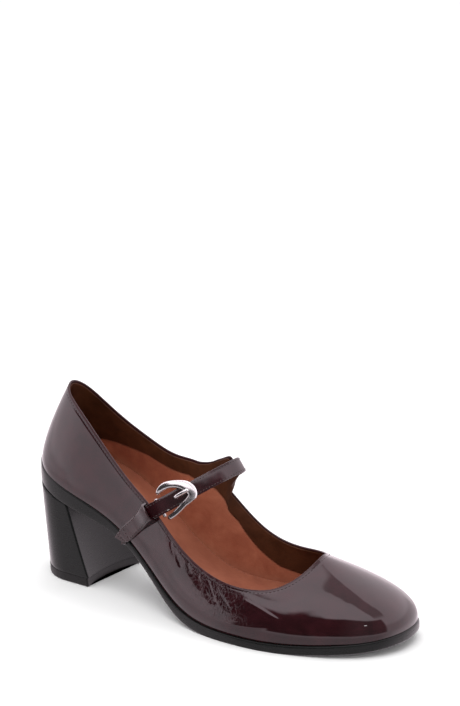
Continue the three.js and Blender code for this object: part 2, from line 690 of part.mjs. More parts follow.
const shoe = new THREE.Group();
const patent = { color: "#3c1119", roughness: 0.15, metalness: 0 };
const black = { color: "#161716", roughness: 0.35, metalness: 0 };
const rubber = { color: "#121212", roughness: 0.7, metalness: 0 };
const leather = { color: "#7c4530", roughness: 0.6, metalness: 0 };
shoe.add(solid("upper", upperSkin(), patent));
shoe.add(solid("insole", insoleSkin(), leather));
shoe.add(solid("outsole", outsoleSkin(), black));
shoe.add(solid("heel", heelSkin(), black));
shoe.add(solid("top_lift", liftSkin(), rubber));
shoe.add(solid("side_tab", tabSkin(), patent));
shoe.add(solid("strap", punchedStrap(), patent));
const silver = { color: "#d8d8da", roughness: 0.12, metalness: 1 };
shoe.add(solid("buckle_frame", frameSkin(), silver));
shoe.add(solid("buckle_bar", barSkin(), silver));
shoe.add(solid("buckle_prong", prongSkin(), silver));
shoe.add(solid("chape", chapeSkin(), patent));

export default shoe;
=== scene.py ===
# Mary jane pump, right shoe: fine surfaces, seams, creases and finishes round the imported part.
# Shoe sizes are millimetres, x from the back of the heel seat as in the part's source;
# place() turns them into the row frame's metres.
import math

import bpy
import numpy as np
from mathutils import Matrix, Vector

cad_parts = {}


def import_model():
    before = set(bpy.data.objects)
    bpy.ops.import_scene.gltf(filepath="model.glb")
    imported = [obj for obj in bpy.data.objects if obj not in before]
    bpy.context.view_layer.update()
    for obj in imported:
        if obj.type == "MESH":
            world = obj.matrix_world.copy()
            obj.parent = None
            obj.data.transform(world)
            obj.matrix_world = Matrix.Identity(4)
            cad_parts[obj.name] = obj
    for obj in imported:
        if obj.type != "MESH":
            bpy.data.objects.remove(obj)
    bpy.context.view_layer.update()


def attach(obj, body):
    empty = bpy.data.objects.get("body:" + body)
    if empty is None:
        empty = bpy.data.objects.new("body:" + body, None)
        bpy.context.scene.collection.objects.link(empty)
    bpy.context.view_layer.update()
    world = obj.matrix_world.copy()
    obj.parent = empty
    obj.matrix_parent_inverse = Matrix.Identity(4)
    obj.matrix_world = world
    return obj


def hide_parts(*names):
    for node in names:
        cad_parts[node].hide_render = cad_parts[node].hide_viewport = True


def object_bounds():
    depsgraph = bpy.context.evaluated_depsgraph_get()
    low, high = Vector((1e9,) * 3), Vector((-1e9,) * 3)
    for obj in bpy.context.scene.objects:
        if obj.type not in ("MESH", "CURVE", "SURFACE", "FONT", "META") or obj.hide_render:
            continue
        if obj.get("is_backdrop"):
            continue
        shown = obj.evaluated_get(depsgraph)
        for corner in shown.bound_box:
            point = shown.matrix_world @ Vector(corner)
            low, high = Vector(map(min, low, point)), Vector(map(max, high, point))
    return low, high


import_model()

# ---- driving sizes, as in the part's source ----
HEEL_REST_X = 27
WALL = 1.8
GAP = 0.3
SOLE_FLARE, SEAT_FLARE = 1.4, 0.5
BOARD = 4.4
LIFT = 5
MM = 0.001


def table(columns, *rows):
    """A table with named columns: a dictionary of arrays."""
    return dict(zip(columns.split(), np.array(rows, float).T))


# Featherline, heel back to toe tip, lateral and medial, and the sole edge's thickness.
FEATHER = table(
    "x_lat lat z_lat x_med med z_med sole",
    (0.8, 0, 69.5, 0.8, 0, 69.5, 10.5), (5.2, 12, 67, 5.2, 12, 67, 10.5),
    (17, 21.5, 62, 17, 21.2, 62, 10.2), (36, 25.8, 56.2, 36, 24.8, 56.2, 9.2),
    (58, 26.2, 49.3, 58, 23, 49.3, 7.4), (79, 27, 38.8, 79, 19.5, 38.8, 5.2),
    (99, 30, 24.2, 100, 17.5, 24.2, 4.2), (120, 35.5, 11.2, 123, 22, 10.5, 5.6),
    (141, 39.8, 5.8, 147, 31.5, 5.4, 5.9), (162, 41, 4.9, 171, 39, 4.9, 5.2),
    (183, 38.5, 4.9, 195, 41.5, 5.2, 5.5), (203, 32, 5.8, 217, 39.4, 7.3, 5.5),
    (220, 23.7, 7.4, 234, 32.3, 9.6, 5.6), (234.5, 12, 9, 241.8, 21.7, 11, 5.8),
    (243, -5, 10.8, 243, 5, 10.8, 5.9))
# Topline, row by row above the featherline.
TOPLINE = table(
    "x_lat lat z_lat x_med med z_med",
    (19, 0, 112.7, 19, 0, 112.7), (21.3, 6.5, 111, 21.3, 6.5, 110),
    (28, 11.5, 106.5, 28, 11.5, 103.5), (43, 16.5, 97, 43, 15.8, 91.5),
    (62, 21, 83, 61, 18.8, 81), (81, 24.5, 69.5, 80, 19.8, 74.3),
    (99, 27, 58, 101, 20, 71.5), (118, 30.4, 43.7, 121, 23.5, 54.5),
    (137, 33.2, 34.3, 138, 27.7, 39.5), (154, 34, 30.3, 154, 30.5, 33.6),
    (168, 30.5, 28.8, 168, 29.5, 34), (179, 22.8, 29.5, 179.5, 24, 36.5),
    (187, 12.5, 34.5, 187, 15, 40), (190.5, 2, 40, 190.3, 8.5, 42.3),
    (191, -4, 42.3, 191, 4, 42.3))
# Section between the lines: wall's shoulder, bulge below it, its lean, crown above it.
SECTION = table(
    "wall bulge lean crown",
    (16, -0.6, 0.18, 0.02), (16, -0.4, 0.18, 0.02), (15, 0.6, 0.17, 0.02),
    (13, 1.4, 0.16, 0.02), (12, 1.8, 0.15, 0.02), (12, 1.8, 0.16, 0.02),
    (13, 1.8, 0.16, 0.02), (13, 2.0, 0.16, 0.02), (12, 2.0, 0.10, 0.04),
    (13, 1.8, 0.05, 0.08), (14, 1.4, 0.04, 0.08), (14, 1.0, 0.03, 0.08),
    (15, 0.8, 0.03, 0.08), (16, 0.6, 0.04, 0.075), (16, 0.5, 0.05, 0.075))

# Plan of the heel block at the ground and at its seat.
HEEL_GROUND = dict(back=7.3, front=49, half=24.4, hollow=3.5, side=17)
HEEL_SEAT = dict(back=2.5, front=33, half=24.3, hollow=2, side=8)
# How far the medial ear, where the strap leaves the quarter, draws the topline out.
EAR = table(
    "row x y z", (21.1, 0, 0, 0), (21.25, -0.4, 0, 0.8), (21.34, 1.2, 0, 3), (21.44, 7, 0.1, 6.6),
    (21.54, 11.4, 0.2, 8.8), (21.64, 10.9, 0.2, 10.9), (21.74, 10.4, 0.2, 12.2),
    (21.88, 7.4, 0.2, 8), (22.05, 3.2, 0.1, 2.6), (22.3, 0, 0, 0))
TAB = dict(width=9, mouth=12.4, thick=1.4, lift=4.6,
           t_foot=4.86, v_foot=-0.1, t_top=5.95, v_top=0.98)
STRAP = dict(width=9, thick=1.8, hole=1.45)
# The strap's line in its own plane: p up the tab, q over the instep.
STRAP_PATH = table(
    "p q", (-6, -0.75), (-2, -0.8), (2, -0.45), (6.4, 3), (12, 10.8), (18, 19.5),
    (23.7, 29.5), (28.5, 39.5), (31.2, 47.5), (30.2, 52.3), (26.5, 53.8), (21, 52.3),
    (15, 50.9), (9, 50.1))
HOLE_PITCH = 8.8
BUCKLE = dict(tail=6, from_mouth=7.2, bar=1, prong=0.8)
CHAPE = dict(width=7, thick=0.9, slot=3.6)
# Buckle frame and prong: s along the strap from the bar, w across it, n off it, half sizes.
FRAME_BENT = table(
    "s w n wide high",
    (2.6, -6.9, -2.8, 1.1, 1.1), (4.4, -8.3, -1.6, 1.6, 1.3), (7.2, -9.0, -0.3, 2.0, 1.4),
    (10.5, -8.4, 0.8, 2.0, 1.5), (14.7, -6.2, 1.9, 2.3, 1.5), (17.8, -3.2, 2.8, 3.0, 1.5),
    (19.2, 0.4, 3.2, 3.0, 1.5), (18.3, 3.2, 3.2, 2.6, 1.5), (15.4, 4.6, 2.9, 2.0, 1.4),
    (12.3, 5.3, 2.3, 1.7, 1.3), (8.6, 6.5, 1.2, 1.6, 1.2), (4.4, 7.5, -0.4, 1.5, 1.2),
    (1.2, 7.8, -2.3, 1.3, 1.1))
FRAME_TILT = 14   # degrees the frame's section leans across the strap
PRONG_BENT = table(
    "s n", (4.6, -4.6), (7.9, -3.2), (8.7, -0.8), (8.9, 1.6), (10, 4), (12.6, 5.5),
    (15.2, 6.1), (17.4, 6.1))


# ---- small helpers ----
def mix(a, b, t):
    return a + (b - a) * t


def smooth(x, start, end):
    u = np.clip((np.asarray(x, float) - start) / (end - start), 0, 1)
    return u * u * (3 - 2 * u)


def unit(a):
    a = np.asarray(a, float)
    return a / np.maximum(np.linalg.norm(a, axis=-1, keepdims=True), 1e-9)


def place(points):
    """Heel-back millimetres to the row frame's metres."""
    return (np.asarray(points, float) - (HEEL_REST_X, 0, 0)) * MM


def through_rows(rows):
    """Control rows of a smooth closed curve through the given rows."""
    control = rows.copy()
    for _ in range(24):
        near = (np.roll(control, 1, 0) + 4 * control + np.roll(control, -1, 0)) / 6
        control = control + rows - near
    return control


def on_closed(control, t):
    """Points of the smooth closed curve at t, counted in rows."""
    t = np.asarray(t, float)
    i = np.floor(t).astype(int)
    f = (t - i)[..., None]
    weight = ((1 - f) ** 3, 3 * f**3 - 6 * f**2 + 4, -3 * f**3 + 3 * f**2 + 3 * f + 1, f**3)
    return sum(w * control[(i + j - 1) % len(control)] for j, w in enumerate(weight)) / 6


def catmull(points, u):
    """Points of a smooth open curve through the given ones, u from 0 to 1 by their count."""
    points = np.asarray(points, float)
    last = len(points) - 1
    at = np.clip(np.asarray(u, float), 0, 1) * last
    i = np.minimum(at.astype(int), last - 1)
    f = (at - i)[:, None]
    ends = np.concatenate([[2 * points[0] - points[1]], points, [2 * points[-1] - points[-2]]])
    a, b, c, d = (ends[i + k] for k in range(4))
    return (b + 0.5 * (c - a) * f + (a - 2.5 * b + 2 * c - 0.5 * d) * f**2
            + 0.5 * (3 * (b - c) + d - a) * f**3)


def by_length(points, count):
    """The same line with points an even distance apart."""
    points = np.asarray(points, float)
    run = np.concatenate([[0], np.cumsum(np.linalg.norm(np.diff(points, axis=0), axis=1))])
    want = np.linspace(0, run[-1], count)
    return np.stack([np.interp(want, run, points[:, k]) for k in range(points.shape[1])], 1)


# ---- the last: outer face of the upper ----
def round_the_shoe(column_lat, column_med, side):
    """One quantity once round the shoe: heel back, lateral side, toe tip, medial side."""
    return np.concatenate([side * column_lat, column_med[1:-1][::-1]])


def line_round(rows):
    """A table's line once round the shoe, as points."""
    return np.stack([round_the_shoe(rows["x_lat"], rows["x_med"], 1),
                     round_the_shoe(rows["lat"], rows["med"], -1),
                     round_the_shoe(rows["z_lat"], rows["z_med"], 1)], 1)


FOOT, RIM = line_round(FEATHER), line_round(TOPLINE)
SHAPE = {key: round_the_shoe(column, column, 1) for key, column in SECTION.items()}
TURNS = len(FOOT)
HALF_TURN = TURNS // 2


def section_net():
    """Six control points for each row, featherline to topline."""
    run = RIM - FOOT
    step = np.roll(FOOT, -1, 0) - np.roll(FOOT, 1, 0)
    out = unit(np.stack([step[:, 1], -step[:, 0], 0 * step[:, 0]], 1))
    wall, bulge, lean, crown = (SHAPE[k] for k in ("wall", "bulge", "lean", "crown"))
    rest = run[:, 2] - wall

    def level(share, height, push):
        flat = np.stack([run[:, 0] * share, run[:, 1] * share, height], 1)
        return FOOT + flat + out * np.reshape(push, (-1, 1))

    return np.stack([
        FOOT,
        level(0, wall * 0.42, bulge),
        level(lean, wall, bulge),
        level(mix(lean, 1, 0.38), wall + rest * (0.38 + crown), 0 * wall),
        level(mix(lean, 1, 0.7), wall + rest * (0.7 + crown * 0.6), 0 * wall),
        RIM], 1)


NET = through_rows(section_net().reshape(TURNS, -1))
SOLE_ROWS = through_rows(round_the_shoe(FEATHER["sole"], FEATHER["sole"], 1)[:, None])


def ear_lift(t):
    """How far the ear draws the topline out: a smooth curve through its table."""
    t = np.mod(t, TURNS)
    row, last = EAR["row"], len(EAR["row"]) - 1
    i = np.clip(np.searchsorted(row, t, side="right") - 1, 0, last - 1)
    span = row[i + 1] - row[i]
    u = np.clip((t - row[i]) / span, 0, 1)
    lift = []
    for key in "xyz":
        value = EAR[key]
        slope = np.zeros(last + 1)
        slope[1:-1] = (value[2:] - value[:-2]) / (row[2:] - row[:-2])
        lift.append((2 * u**3 - 3 * u**2 + 1) * value[i] + (u**3 - 2 * u**2 + u) * span * slope[i]
                    + (3 * u**2 - 2 * u**3) * value[i + 1] + (u**3 - u**2) * span * slope[i + 1])
    return np.stack(lift, -1)


def outer_face(t, v):
    """Outer face of the upper at t rows round and share v of the way up."""
    t, v = np.broadcast_arrays(np.asarray(t, float), np.asarray(v, float))
    net = on_closed(NET, t).reshape(t.shape + (6, 3))
    u = v[..., None]
    choose = (1, 5, 10, 10, 5, 1)
    point = sum(c * u**k * (1 - u) ** (5 - k) * net[..., k, :] for k, c in enumerate(choose))
    return point + ear_lift(t) * (v**5)[..., None]


def outward(t, v):
    e = 0.02
    t, v = np.broadcast_arrays(np.asarray(t, float), np.asarray(v, float))
    along = outer_face(t + e, v) - outer_face(t - e, v)
    up = outer_face(t, np.minimum(1, v + e)) - outer_face(t, np.maximum(0, v - e))
    return unit(np.cross(along, up))


def on_upper(t, v, off):
    return outer_face(t, v) + outward(t, v) * np.reshape(off, np.shape(off) + (1,))


def below_rim(t, distance):
    """Share v of the point that lies a distance below the topline."""
    per_share = np.linalg.norm(outer_face(t, 1.0) - outer_face(t, 0.9), axis=-1) / 0.1
    return 1 - distance / per_share


# ---- meshes ----
def make(name, points, faces, material, node=None, slot=None, sharp=50):
    """A piece from points in shoe millimetres; closed skins are turned to face outwards."""
    points = place(points)
    quads = np.asarray(faces[0])
    corner = points[quads]
    volume = sum(np.einsum("ij,ij->", corner[:, 0], np.cross(corner[:, k], corner[:, k + 1]))
                 for k in (1, 2))
    lists = [q for part in faces for q in np.asarray(part).tolist()]
    if volume < 0:
        lists = [q[::-1] for q in lists]
    mesh = bpy.data.meshes.new(name)
    mesh.from_pydata(points.tolist(), [], lists)
    mesh.polygons.foreach_set("use_smooth", [True] * len(mesh.polygons))
    mesh.set_sharp_from_angle(angle=math.radians(sharp))
    mesh.materials.append(material)
    piece = bpy.data.objects.new(name, mesh)
    bpy.context.scene.collection.objects.link(piece)
    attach(piece, "root")
    if node:
        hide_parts(node)
    return piece


def ring_faces(rings, around, closed):
    """Quads between neighbouring loops; closed joins the last loop to the first."""
    i = np.arange(rings if closed else rings - 1)[:, None]
    j = np.arange(around)[None, :]
    following = (i + 1) % rings
    beside = (j + 1) % around
    return np.stack([i * around + j, i * around + beside,
                     following * around + beside, following * around + j], -1).reshape(-1, 4)


def skin(rings, closed=False):
    """Points and faces of a closed skin over a stack of closed loops."""
    rings = np.asarray(rings, float)
    count, around = rings.shape[:2]
    faces = [ring_faces(count, around, closed)]
    if not closed:
        last = (count - 1) * around
        faces.append([list(range(around))[::-1]])
        faces.append([list(range(last, last + around))])
    return rings.reshape(-1, 3), faces


def rod(centres, side_a, side_b, sides, power=2.0):
    """Loops round given centres, with half sizes side_a and side_b; a power above 2 squares
    them."""
    turn = 2 * np.pi * np.arange(sides) / sides
    ca, cb = np.cos(turn), np.sin(turn)
    ca = np.sign(ca) * np.abs(ca) ** (2 / power)
    cb = np.sign(cb) * np.abs(cb) ** (2 / power)
    return (np.asarray(centres)[:, None] + np.asarray(side_a)[:, None] * ca[None, :, None]
            + np.asarray(side_b)[:, None] * cb[None, :, None])


def add_mask(piece, name, values):
    layer = piece.data.attributes.new(name, "FLOAT", "POINT")
    layer.data.foreach_set("value", np.asarray(values, np.float32).ravel())


# ---- creases of the worn patent, placed in rows round and share up ----
# Over the lateral ball and its front, then finer ones behind it along the topline.
CREASES = table(
    "t0 v0 t1 v1 bow depth width",
    (8.05, 0.94, 8.62, 0.52, 0.05, -0.26, 1.5), (8.45, 0.90, 9.05, 0.48, -0.04, -0.32, 1.7),
    (8.80, 0.84, 9.45, 0.42, 0.05, -0.28, 1.5), (9.15, 0.72, 9.85, 0.36, -0.05, -0.24, 1.4),
    (8.20, 0.74, 8.50, 0.50, -0.06, -0.18, 1.3), (8.25, 0.96, 8.85, 0.50, 0.02, 0.22, 1.6),
    (8.62, 0.88, 9.30, 0.44, 0.02, 0.26, 1.5), (8.98, 0.78, 9.70, 0.38, 0.00, 0.22, 1.4),
    (7.75, 0.92, 8.05, 0.68, 0.06, -0.18, 1.3), (7.35, 0.95, 7.60, 0.76, 0.04, -0.16, 1.2),
    (8.70, 0.22, 10.20, 0.27, -0.02, 0.16, 0.55), (9.40, 0.48, 10.10, 0.40, 0.04, -0.25, 1.3),
    (9.55, 0.72, 10.60, 0.38, 0.02, 0.30, 0.9), (9.75, 0.60, 10.45, 0.33, 0.03, -0.18, 0.8),
    (6.60, 0.93, 6.95, 0.74, 0.05, -0.30, 1.2), (6.95, 0.94, 7.20, 0.70, -0.04, -0.30, 1.1),
    # the same wear, lighter, on the medial ball
    (19.60, 0.90, 18.90, 0.42, 0.04, -0.30, 1.8), (19.20, 0.86, 18.55, 0.44, -0.04, -0.32, 1.9),
    (18.80, 0.80, 18.20, 0.46, 0.04, -0.26, 1.7))


def crease_offset(t, v, face):
    """How far the creases push the face in or out, in millimetres."""
    off = np.zeros(t.shape)
    for k in range(len(CREASES["t0"])):
        c = {key: column[k] for key, column in CREASES.items()}
        s = np.linspace(0, 1, 15)
        line_t = mix(c["t0"], c["t1"], s) + c["bow"] * np.sin(np.pi * s * 2)
        line_v = mix(c["v0"], c["v1"], s) + c["bow"] * np.sin(np.pi * s)
        line = outer_face(line_t, line_v)
        near = np.abs(t - (c["t0"] + c["t1"]) / 2) < 1.6
        spots = face[near]
        distance = np.full(len(spots), 1e9)
        share = np.zeros(len(spots))
        for i in range(len(s) - 1):
            a, b = line[i], line[i + 1]
            run = b - a
            u = np.clip((spots - a) @ run / (run @ run), 0, 1)
            d = np.linalg.norm(spots - a - u[:, None] * run, axis=1)
            closer = d < distance
            distance[closer] = d[closer]
            share[closer] = (i + u[closer]) / (len(s) - 1)
        fade = np.sin(np.pi * np.clip(share, 0.02, 0.98)) ** 0.6
        off[near] += c["depth"] * fade * np.exp(-((distance / c["width"]) ** 2))
    return off


def crumple_mask(t, v):
    """Where the patent is crinkled: over the lateral ball and along the topline behind it."""
    ball = np.exp(-((t - 8.75) / 0.8) ** 2) * smooth(v, 0.16, 0.3)
    rim = smooth(t, 6.1, 6.6) * (1 - smooth(t, 8.2, 8.8)) * smooth(v, 0.66, 0.84)
    medial = 0.5 * np.exp(-((t - 19) / 0.7) ** 2) * smooth(v, 0.3, 0.5)
    return np.clip(np.maximum(np.maximum(ball, rim), medial), 0, 1)


# ---- materials ----
class Nodes:
    """A short way to build the nodes of a material or a world."""

    def __init__(self, owner):
        self.tree = owner.node_tree
        self.bsdf = self.tree.nodes.get("Principled BSDF")
        self.where = self.add("ShaderNodeTexCoord").outputs["Object"]

    def add(self, kind, **settings):
        node = self.tree.nodes.new(kind)
        for key, value in settings.items():
            setattr(node, key, value)
        return node

    def link(self, source, target):
        self.tree.links.new(source, target)

    def feed(self, **sources):
        for key, source in sources.items():
            self.link(source, self.bsdf.inputs[key.replace("_", " ")])

    def set(self, **values):
        for key, value in values.items():
            self.bsdf.inputs[key.replace("_", " ")].default_value = value

    def stretched(self, scale):
        """The object's coordinates scaled along each axis."""
        node = self.add("ShaderNodeMapping")
        node.inputs["Scale"].default_value = scale
        self.link(self.where, node.inputs["Vector"])
        return node.outputs["Vector"]

    def noise(self, size, detail=3, rough=0.5, distortion=0.0, where=None):
        """Noise whose blobs are about size millimetres across."""
        node = self.add("ShaderNodeTexNoise")
        node.inputs["Scale"].default_value = 1 / (size * MM)
        node.inputs["Detail"].default_value = detail
        node.inputs["Roughness"].default_value = rough
        node.inputs["Distortion"].default_value = distortion
        self.link(where or self.where, node.inputs["Vector"])
        return node.outputs["Fac"]

    def cells(self, size):
        """Distance from the middle of cells about size millimetres across."""
        node = self.add("ShaderNodeTexVoronoi")
        node.inputs["Scale"].default_value = 1 / (size * MM)
        self.link(self.where, node.inputs["Vector"])
        return node.outputs["Distance"]

    def attribute(self, name):
        return self.add("ShaderNodeAttribute", attribute_name=name).outputs["Fac"]

    def math(self, operation, a, b=None):
        node = self.add("ShaderNodeMath", operation=operation)
        for socket, value in zip(node.inputs, (a, b)):
            if value is None:
                continue
            if isinstance(value, (int, float)):
                socket.default_value = value
            else:
                self.link(value, socket)
        return node.outputs[0]

    def ramp(self, fac, *stops):
        node = self.add("ShaderNodeValToRGB")
        while len(node.color_ramp.elements) < len(stops):
            node.color_ramp.elements.new(0.5)
        for element, (position, colour) in zip(node.color_ramp.elements, stops):
            element.position = position
            element.color = (*colour, 1)
        self.link(fac, node.inputs["Fac"])
        return node.outputs["Color"]

    def blend(self, fac, a, b):
        node = self.add("ShaderNodeMix", data_type="RGBA")
        for name, value in (("Factor", fac), ("A", a), ("B", b)):
            socket = node.inputs[name]
            if isinstance(value, tuple):
                socket.default_value = (*value, 1)
            elif isinstance(value, (int, float)):
                socket.default_value = value
            else:
                self.link(value, socket)
        return node.outputs["Result"]

    def spread(self, fac, low, high):
        node = self.add("ShaderNodeMapRange")
        node.inputs["To Min"].default_value = low
        node.inputs["To Max"].default_value = high
        self.link(fac, node.inputs["Value"])
        return node.outputs["Result"]

    def rise(self, value, start, end):
        """A soft step from 0 to 1 as the value goes from start to end."""
        node = self.add("ShaderNodeMapRange", interpolation_type="SMOOTHSTEP")
        node.inputs["From Min"].default_value = start
        node.inputs["From Max"].default_value = end
        self.link(value, node.inputs["Value"])
        return node.outputs["Result"]

    def bump(self, height, depth, under=None):
        """Relief of a given depth in millimetres, on top of another."""
        node = self.add("ShaderNodeBump")
        node.inputs["Distance"].default_value = depth * MM
        self.link(height, node.inputs["Height"])
        if under:
            self.link(under, node.inputs["Normal"])
        return node.outputs["Normal"]


def grey(value):
    return (value, value, value)


def finish(name):
    """A new material and its nodes."""
    material = bpy.data.materials.new(name)
    material.use_nodes = True
    return material, Nodes(material)


WINE_DEEP = (0.012, 0.0017, 0.0026)
WINE = (0.026, 0.0042, 0.0062)
WINE_EDGE = (0.030, 0.008, 0.009)


def patent(name, masks=False):
    """Wine patent: a dark dyed leather under a clear gloss coat. The masks thin the coat at
    the folded edge and raise fine lines where the leather is crinkled."""
    material, n = finish(name)
    colour = n.ramp(n.noise(9, 4), (0.3, WINE_DEEP), (0.75, WINE))
    if masks:
        colour = n.blend(n.attribute("edge"), colour, WINE_EDGE)
    n.feed(Base_Color=colour)
    n.set(Roughness=0.42, IOR=1.5, Specular_IOR_Level=0.05,
          Coat_Weight=1.0, Coat_Roughness=0.02, Coat_IOR=1.72)
    wave = n.bump(n.noise(26, 1), 0.22)
    peel = n.bump(n.noise(1.6, 2), 0.0006, n.bump(n.noise(10, 1), 0.12, wave))
    if masks:
        n.feed(Coat_Weight=n.spread(n.attribute("edge"), 1.0, 0.35))
        worn = n.attribute("crumple")
        upright = n.stretched((1.25, 1.0, 0.85))
        for size, bend, sharp, depth in ((4.6, 0.9, 30.0, 0.09), (2.4, 0.7, 24.0, 0.04)):
            away = n.noise(size, 1, 0.4, bend, upright)
            away = n.math("ABSOLUTE", n.math("SUBTRACT", away, 0.5))
            away = n.math("MINIMUM", n.math("MULTIPLY", away, sharp), 1.0)
            line = n.math("SUBTRACT", 1.0, away)
            line = n.math("MULTIPLY", n.math("MULTIPLY", line, line), worn)
            peel = n.bump(line, depth, peel)
    n.feed(Normal=peel)
    n.feed(Coat_Normal=peel)
    return material


def brown_leather(name, light, dark, grain=0.05):
    """Vegetable-tanned lining leather, mottled and softly worn."""
    material, n = finish(name)
    mottle = n.noise(14, 6, 0.62, 0.4)
    worn = n.noise(2.2, 4, 0.6)
    colour = n.ramp(mottle, (0.32, dark), (0.68, light))
    colour = n.blend(n.spread(worn, 0.0, 0.35), colour, dark)
    n.feed(Base_Color=colour)
    n.feed(Roughness=n.spread(mottle, 0.42, 0.58))
    n.set(Sheen_Weight=0.05, Sheen_Roughness=0.5, Specular_IOR_Level=0.35)
    pores = n.bump(n.cells(0.55), grain)
    n.feed(Normal=n.bump(n.noise(3.5, 4), 0.12, pores))
    return material


def painted_edge(name, rough=(0.24, 0.32), colour=(0.006, 0.007, 0.0066)):
    """Black edge paint over sole leather and stacked heel, rubbed to a shine."""
    material, n = finish(name)
    strokes = n.noise(2.4, 3, 0.5, 0.0, n.stretched((0.3, 0.3, 1.6)))
    n.feed(Base_Color=n.ramp(strokes, (0.3, colour), (0.8, tuple(1.25 * c for c in colour))))
    n.feed(Roughness=n.spread(strokes, *rough))
    n.set(Coat_Weight=0.05, Coat_Roughness=0.12, IOR=1.5, Specular_IOR_Level=0.36)
    n.feed(Normal=n.bump(strokes, 0.012, n.bump(n.noise(18, 1), 0.12)))
    return material


def rubber(name):
    material, n = finish(name)
    n.feed(Base_Color=n.ramp(n.noise(0.7, 2), (0.3, grey(0.006)), (0.8, grey(0.016))))
    n.set(Roughness=0.55, IOR=1.45)
    n.feed(Normal=n.bump(n.cells(0.8), 0.06))
    return material


def silver(name):
    material, n = finish(name)
    hair = n.noise(0.5, 3, 0.6, 0.0, n.stretched((0.12, 1.0, 1.0)))
    n.set(Base_Color=(0.95, 0.955, 0.95, 1), Metallic=1.0)
    n.feed(Roughness=n.spread(hair, 0.20, 0.30))
    n.feed(Normal=n.bump(hair, 0.004, n.bump(n.noise(4, 1), 0.03)))
    return material


def thread(name, colour):
    material, n = finish(name)
    twist = n.noise(0.35, 2)
    n.feed(Base_Color=n.ramp(twist, (0.3, tuple(0.5 * c for c in colour)), (0.7, colour)))
    n.set(Roughness=0.5, Sheen_Weight=0.2)
    n.feed(Normal=n.bump(twist, 0.05))
    return material


def lining_with_painted_shade(name):
    """Quarter lining: under the topline a band coloured dark as painted shade, the sock's leather
    below it, and a painted highlight along the band's lower edge.
    """
    material, n = finish(name)
    mottle = n.noise(12, 6, 0.62, 0.4)
    # Painted shade: the band under the topline gets a dark colour where the inside of the shoe lies
    # in shade.
    painted_shade_band = n.ramp(mottle, (0.32, (0.044, 0.0125, 0.0040)), (0.68, (0.085, 0.0265, 0.0095)))
    below = n.ramp(mottle, (0.32, (0.33, 0.097, 0.053)), (0.68, (0.45, 0.151, 0.085)))
    colour = n.blend(n.attribute("painted_shade_band"), below, painted_shade_band)
    # Painted highlight: a lighter golden line just below the band stands in for the light on its
    # edge.
    colour = n.blend(n.attribute("painted_highlight_line"), colour, (0.30, 0.13, 0.075))
    n.feed(Base_Color=colour)
    n.feed(Roughness=n.spread(mottle, 0.42, 0.6))
    n.set(Specular_IOR_Level=0.3)
    step = n.bump(n.attribute("painted_shade_band"), 0.35)
    pores = n.bump(n.cells(0.55), 0.05, step)
    n.feed(Normal=n.bump(n.noise(3.5, 4), 0.12, pores))
    return material


PATENT = patent("wine_patent_upper", masks=True)
PATENT_STRAP = patent("wine_patent_strap")
LINING = lining_with_painted_shade("quarter_lining")
STRAP_BACK = brown_leather("strap_lining_leather", (0.15, 0.046, 0.022), (0.085, 0.025, 0.011))
SOCK = brown_leather("sock_leather", (0.34, 0.112, 0.062), (0.25, 0.074, 0.041), 0.035)
BLACK = painted_edge("black_edge_paint")
RUBBER = rubber("black_rubber")
SILVER = silver("polished_silver")
THREAD = thread("wine_thread", (0.040, 0.013, 0.015))


# ---- stitches ----
STITCH_SHARE = 0.72  # how much of its pitch a stitch takes
STITCH_SIDES, STITCH_RINGS = 6, 6


def stitch_row(name, line, off, pitch, slot, radius=0.24):
    """Stitches along a line of points, each bowed over the leather; off is the way off it."""
    line, off = np.asarray(line, float), np.asarray(off, float)
    run = np.concatenate([[0], np.cumsum(np.linalg.norm(np.diff(line, axis=0), axis=1))])
    count = max(1, int(round(run[-1] / pitch)))
    pitch = run[-1] / count

    def at(values, s):
        return np.stack([np.interp(s, run, values[:, k]) for k in range(3)], -1)

    points, faces = [], []
    sides, rings = STITCH_SIDES, STITCH_RINGS
    u = np.linspace(0, 1, rings)
    for i in range(count):
        s = (i + 0.5 + (u - 0.5) * STITCH_SHARE) * pitch
        lift = unit(at(off, s))
        centre = at(line, s) + lift * ((np.sin(np.pi * u) - 0.35) * radius)[:, None]
        along = unit(np.gradient(centre, axis=0))
        beside = unit(np.cross(along, lift))
        thick = radius * (0.45 + 0.55 * np.sin(np.pi * u))[:, None]
        loops = rod(centre, beside * thick, lift * thick * 0.8, sides)
        start = len(points) * rings * sides
        points.append(loops.reshape(-1, 3))
        faces.append(ring_faces(rings, sides, False) + start)
    caps = []
    for i in range(count):
        start = i * rings * sides
        last = start + (rings - 1) * sides
        caps.append(list(range(start, start + sides))[::-1])
        caps.append(list(range(last, last + sides)))
    return make(name, np.concatenate(points), [np.concatenate(faces), caps], THREAD,
                slot=slot, sharp=80)


# ---- upper ----
FOLD = 1.15          # thickness of the folded topline
LAYER = 0.95         # thickness of the patent below the fold
SEAM_DROP = 1.9      # the topline's stitches below the rim
# Lower edge of the lining's band of painted shade under the topline: rows round and share up.
SHADE_BAND_EDGE = table(
    "t v", (0, 0.2), (1.5, 0.3), (3, 0.5), (4.5, 0.7), (6, 0.7), (7.5, 0.55), (9, 0.35),
    (11, 0.25), (19, 0.25), (20, 0.4), (21, 0.75), (22.5, 0.8), (24, 0.65), (26, 0.3), (28, 0.2))


def fine_turns():
    """Columns round the shoe, closer together over the lateral ball and at the ear."""
    return np.concatenate([
        np.arange(0, 6, 1 / 17), np.arange(6, 10.6, 1 / 44), np.arange(10.6, 17.5, 1 / 17),
        np.arange(17.5, 21, 1 / 24), np.arange(21, 22.5, 1 / 60), np.arange(22.5, 28, 1 / 17)])


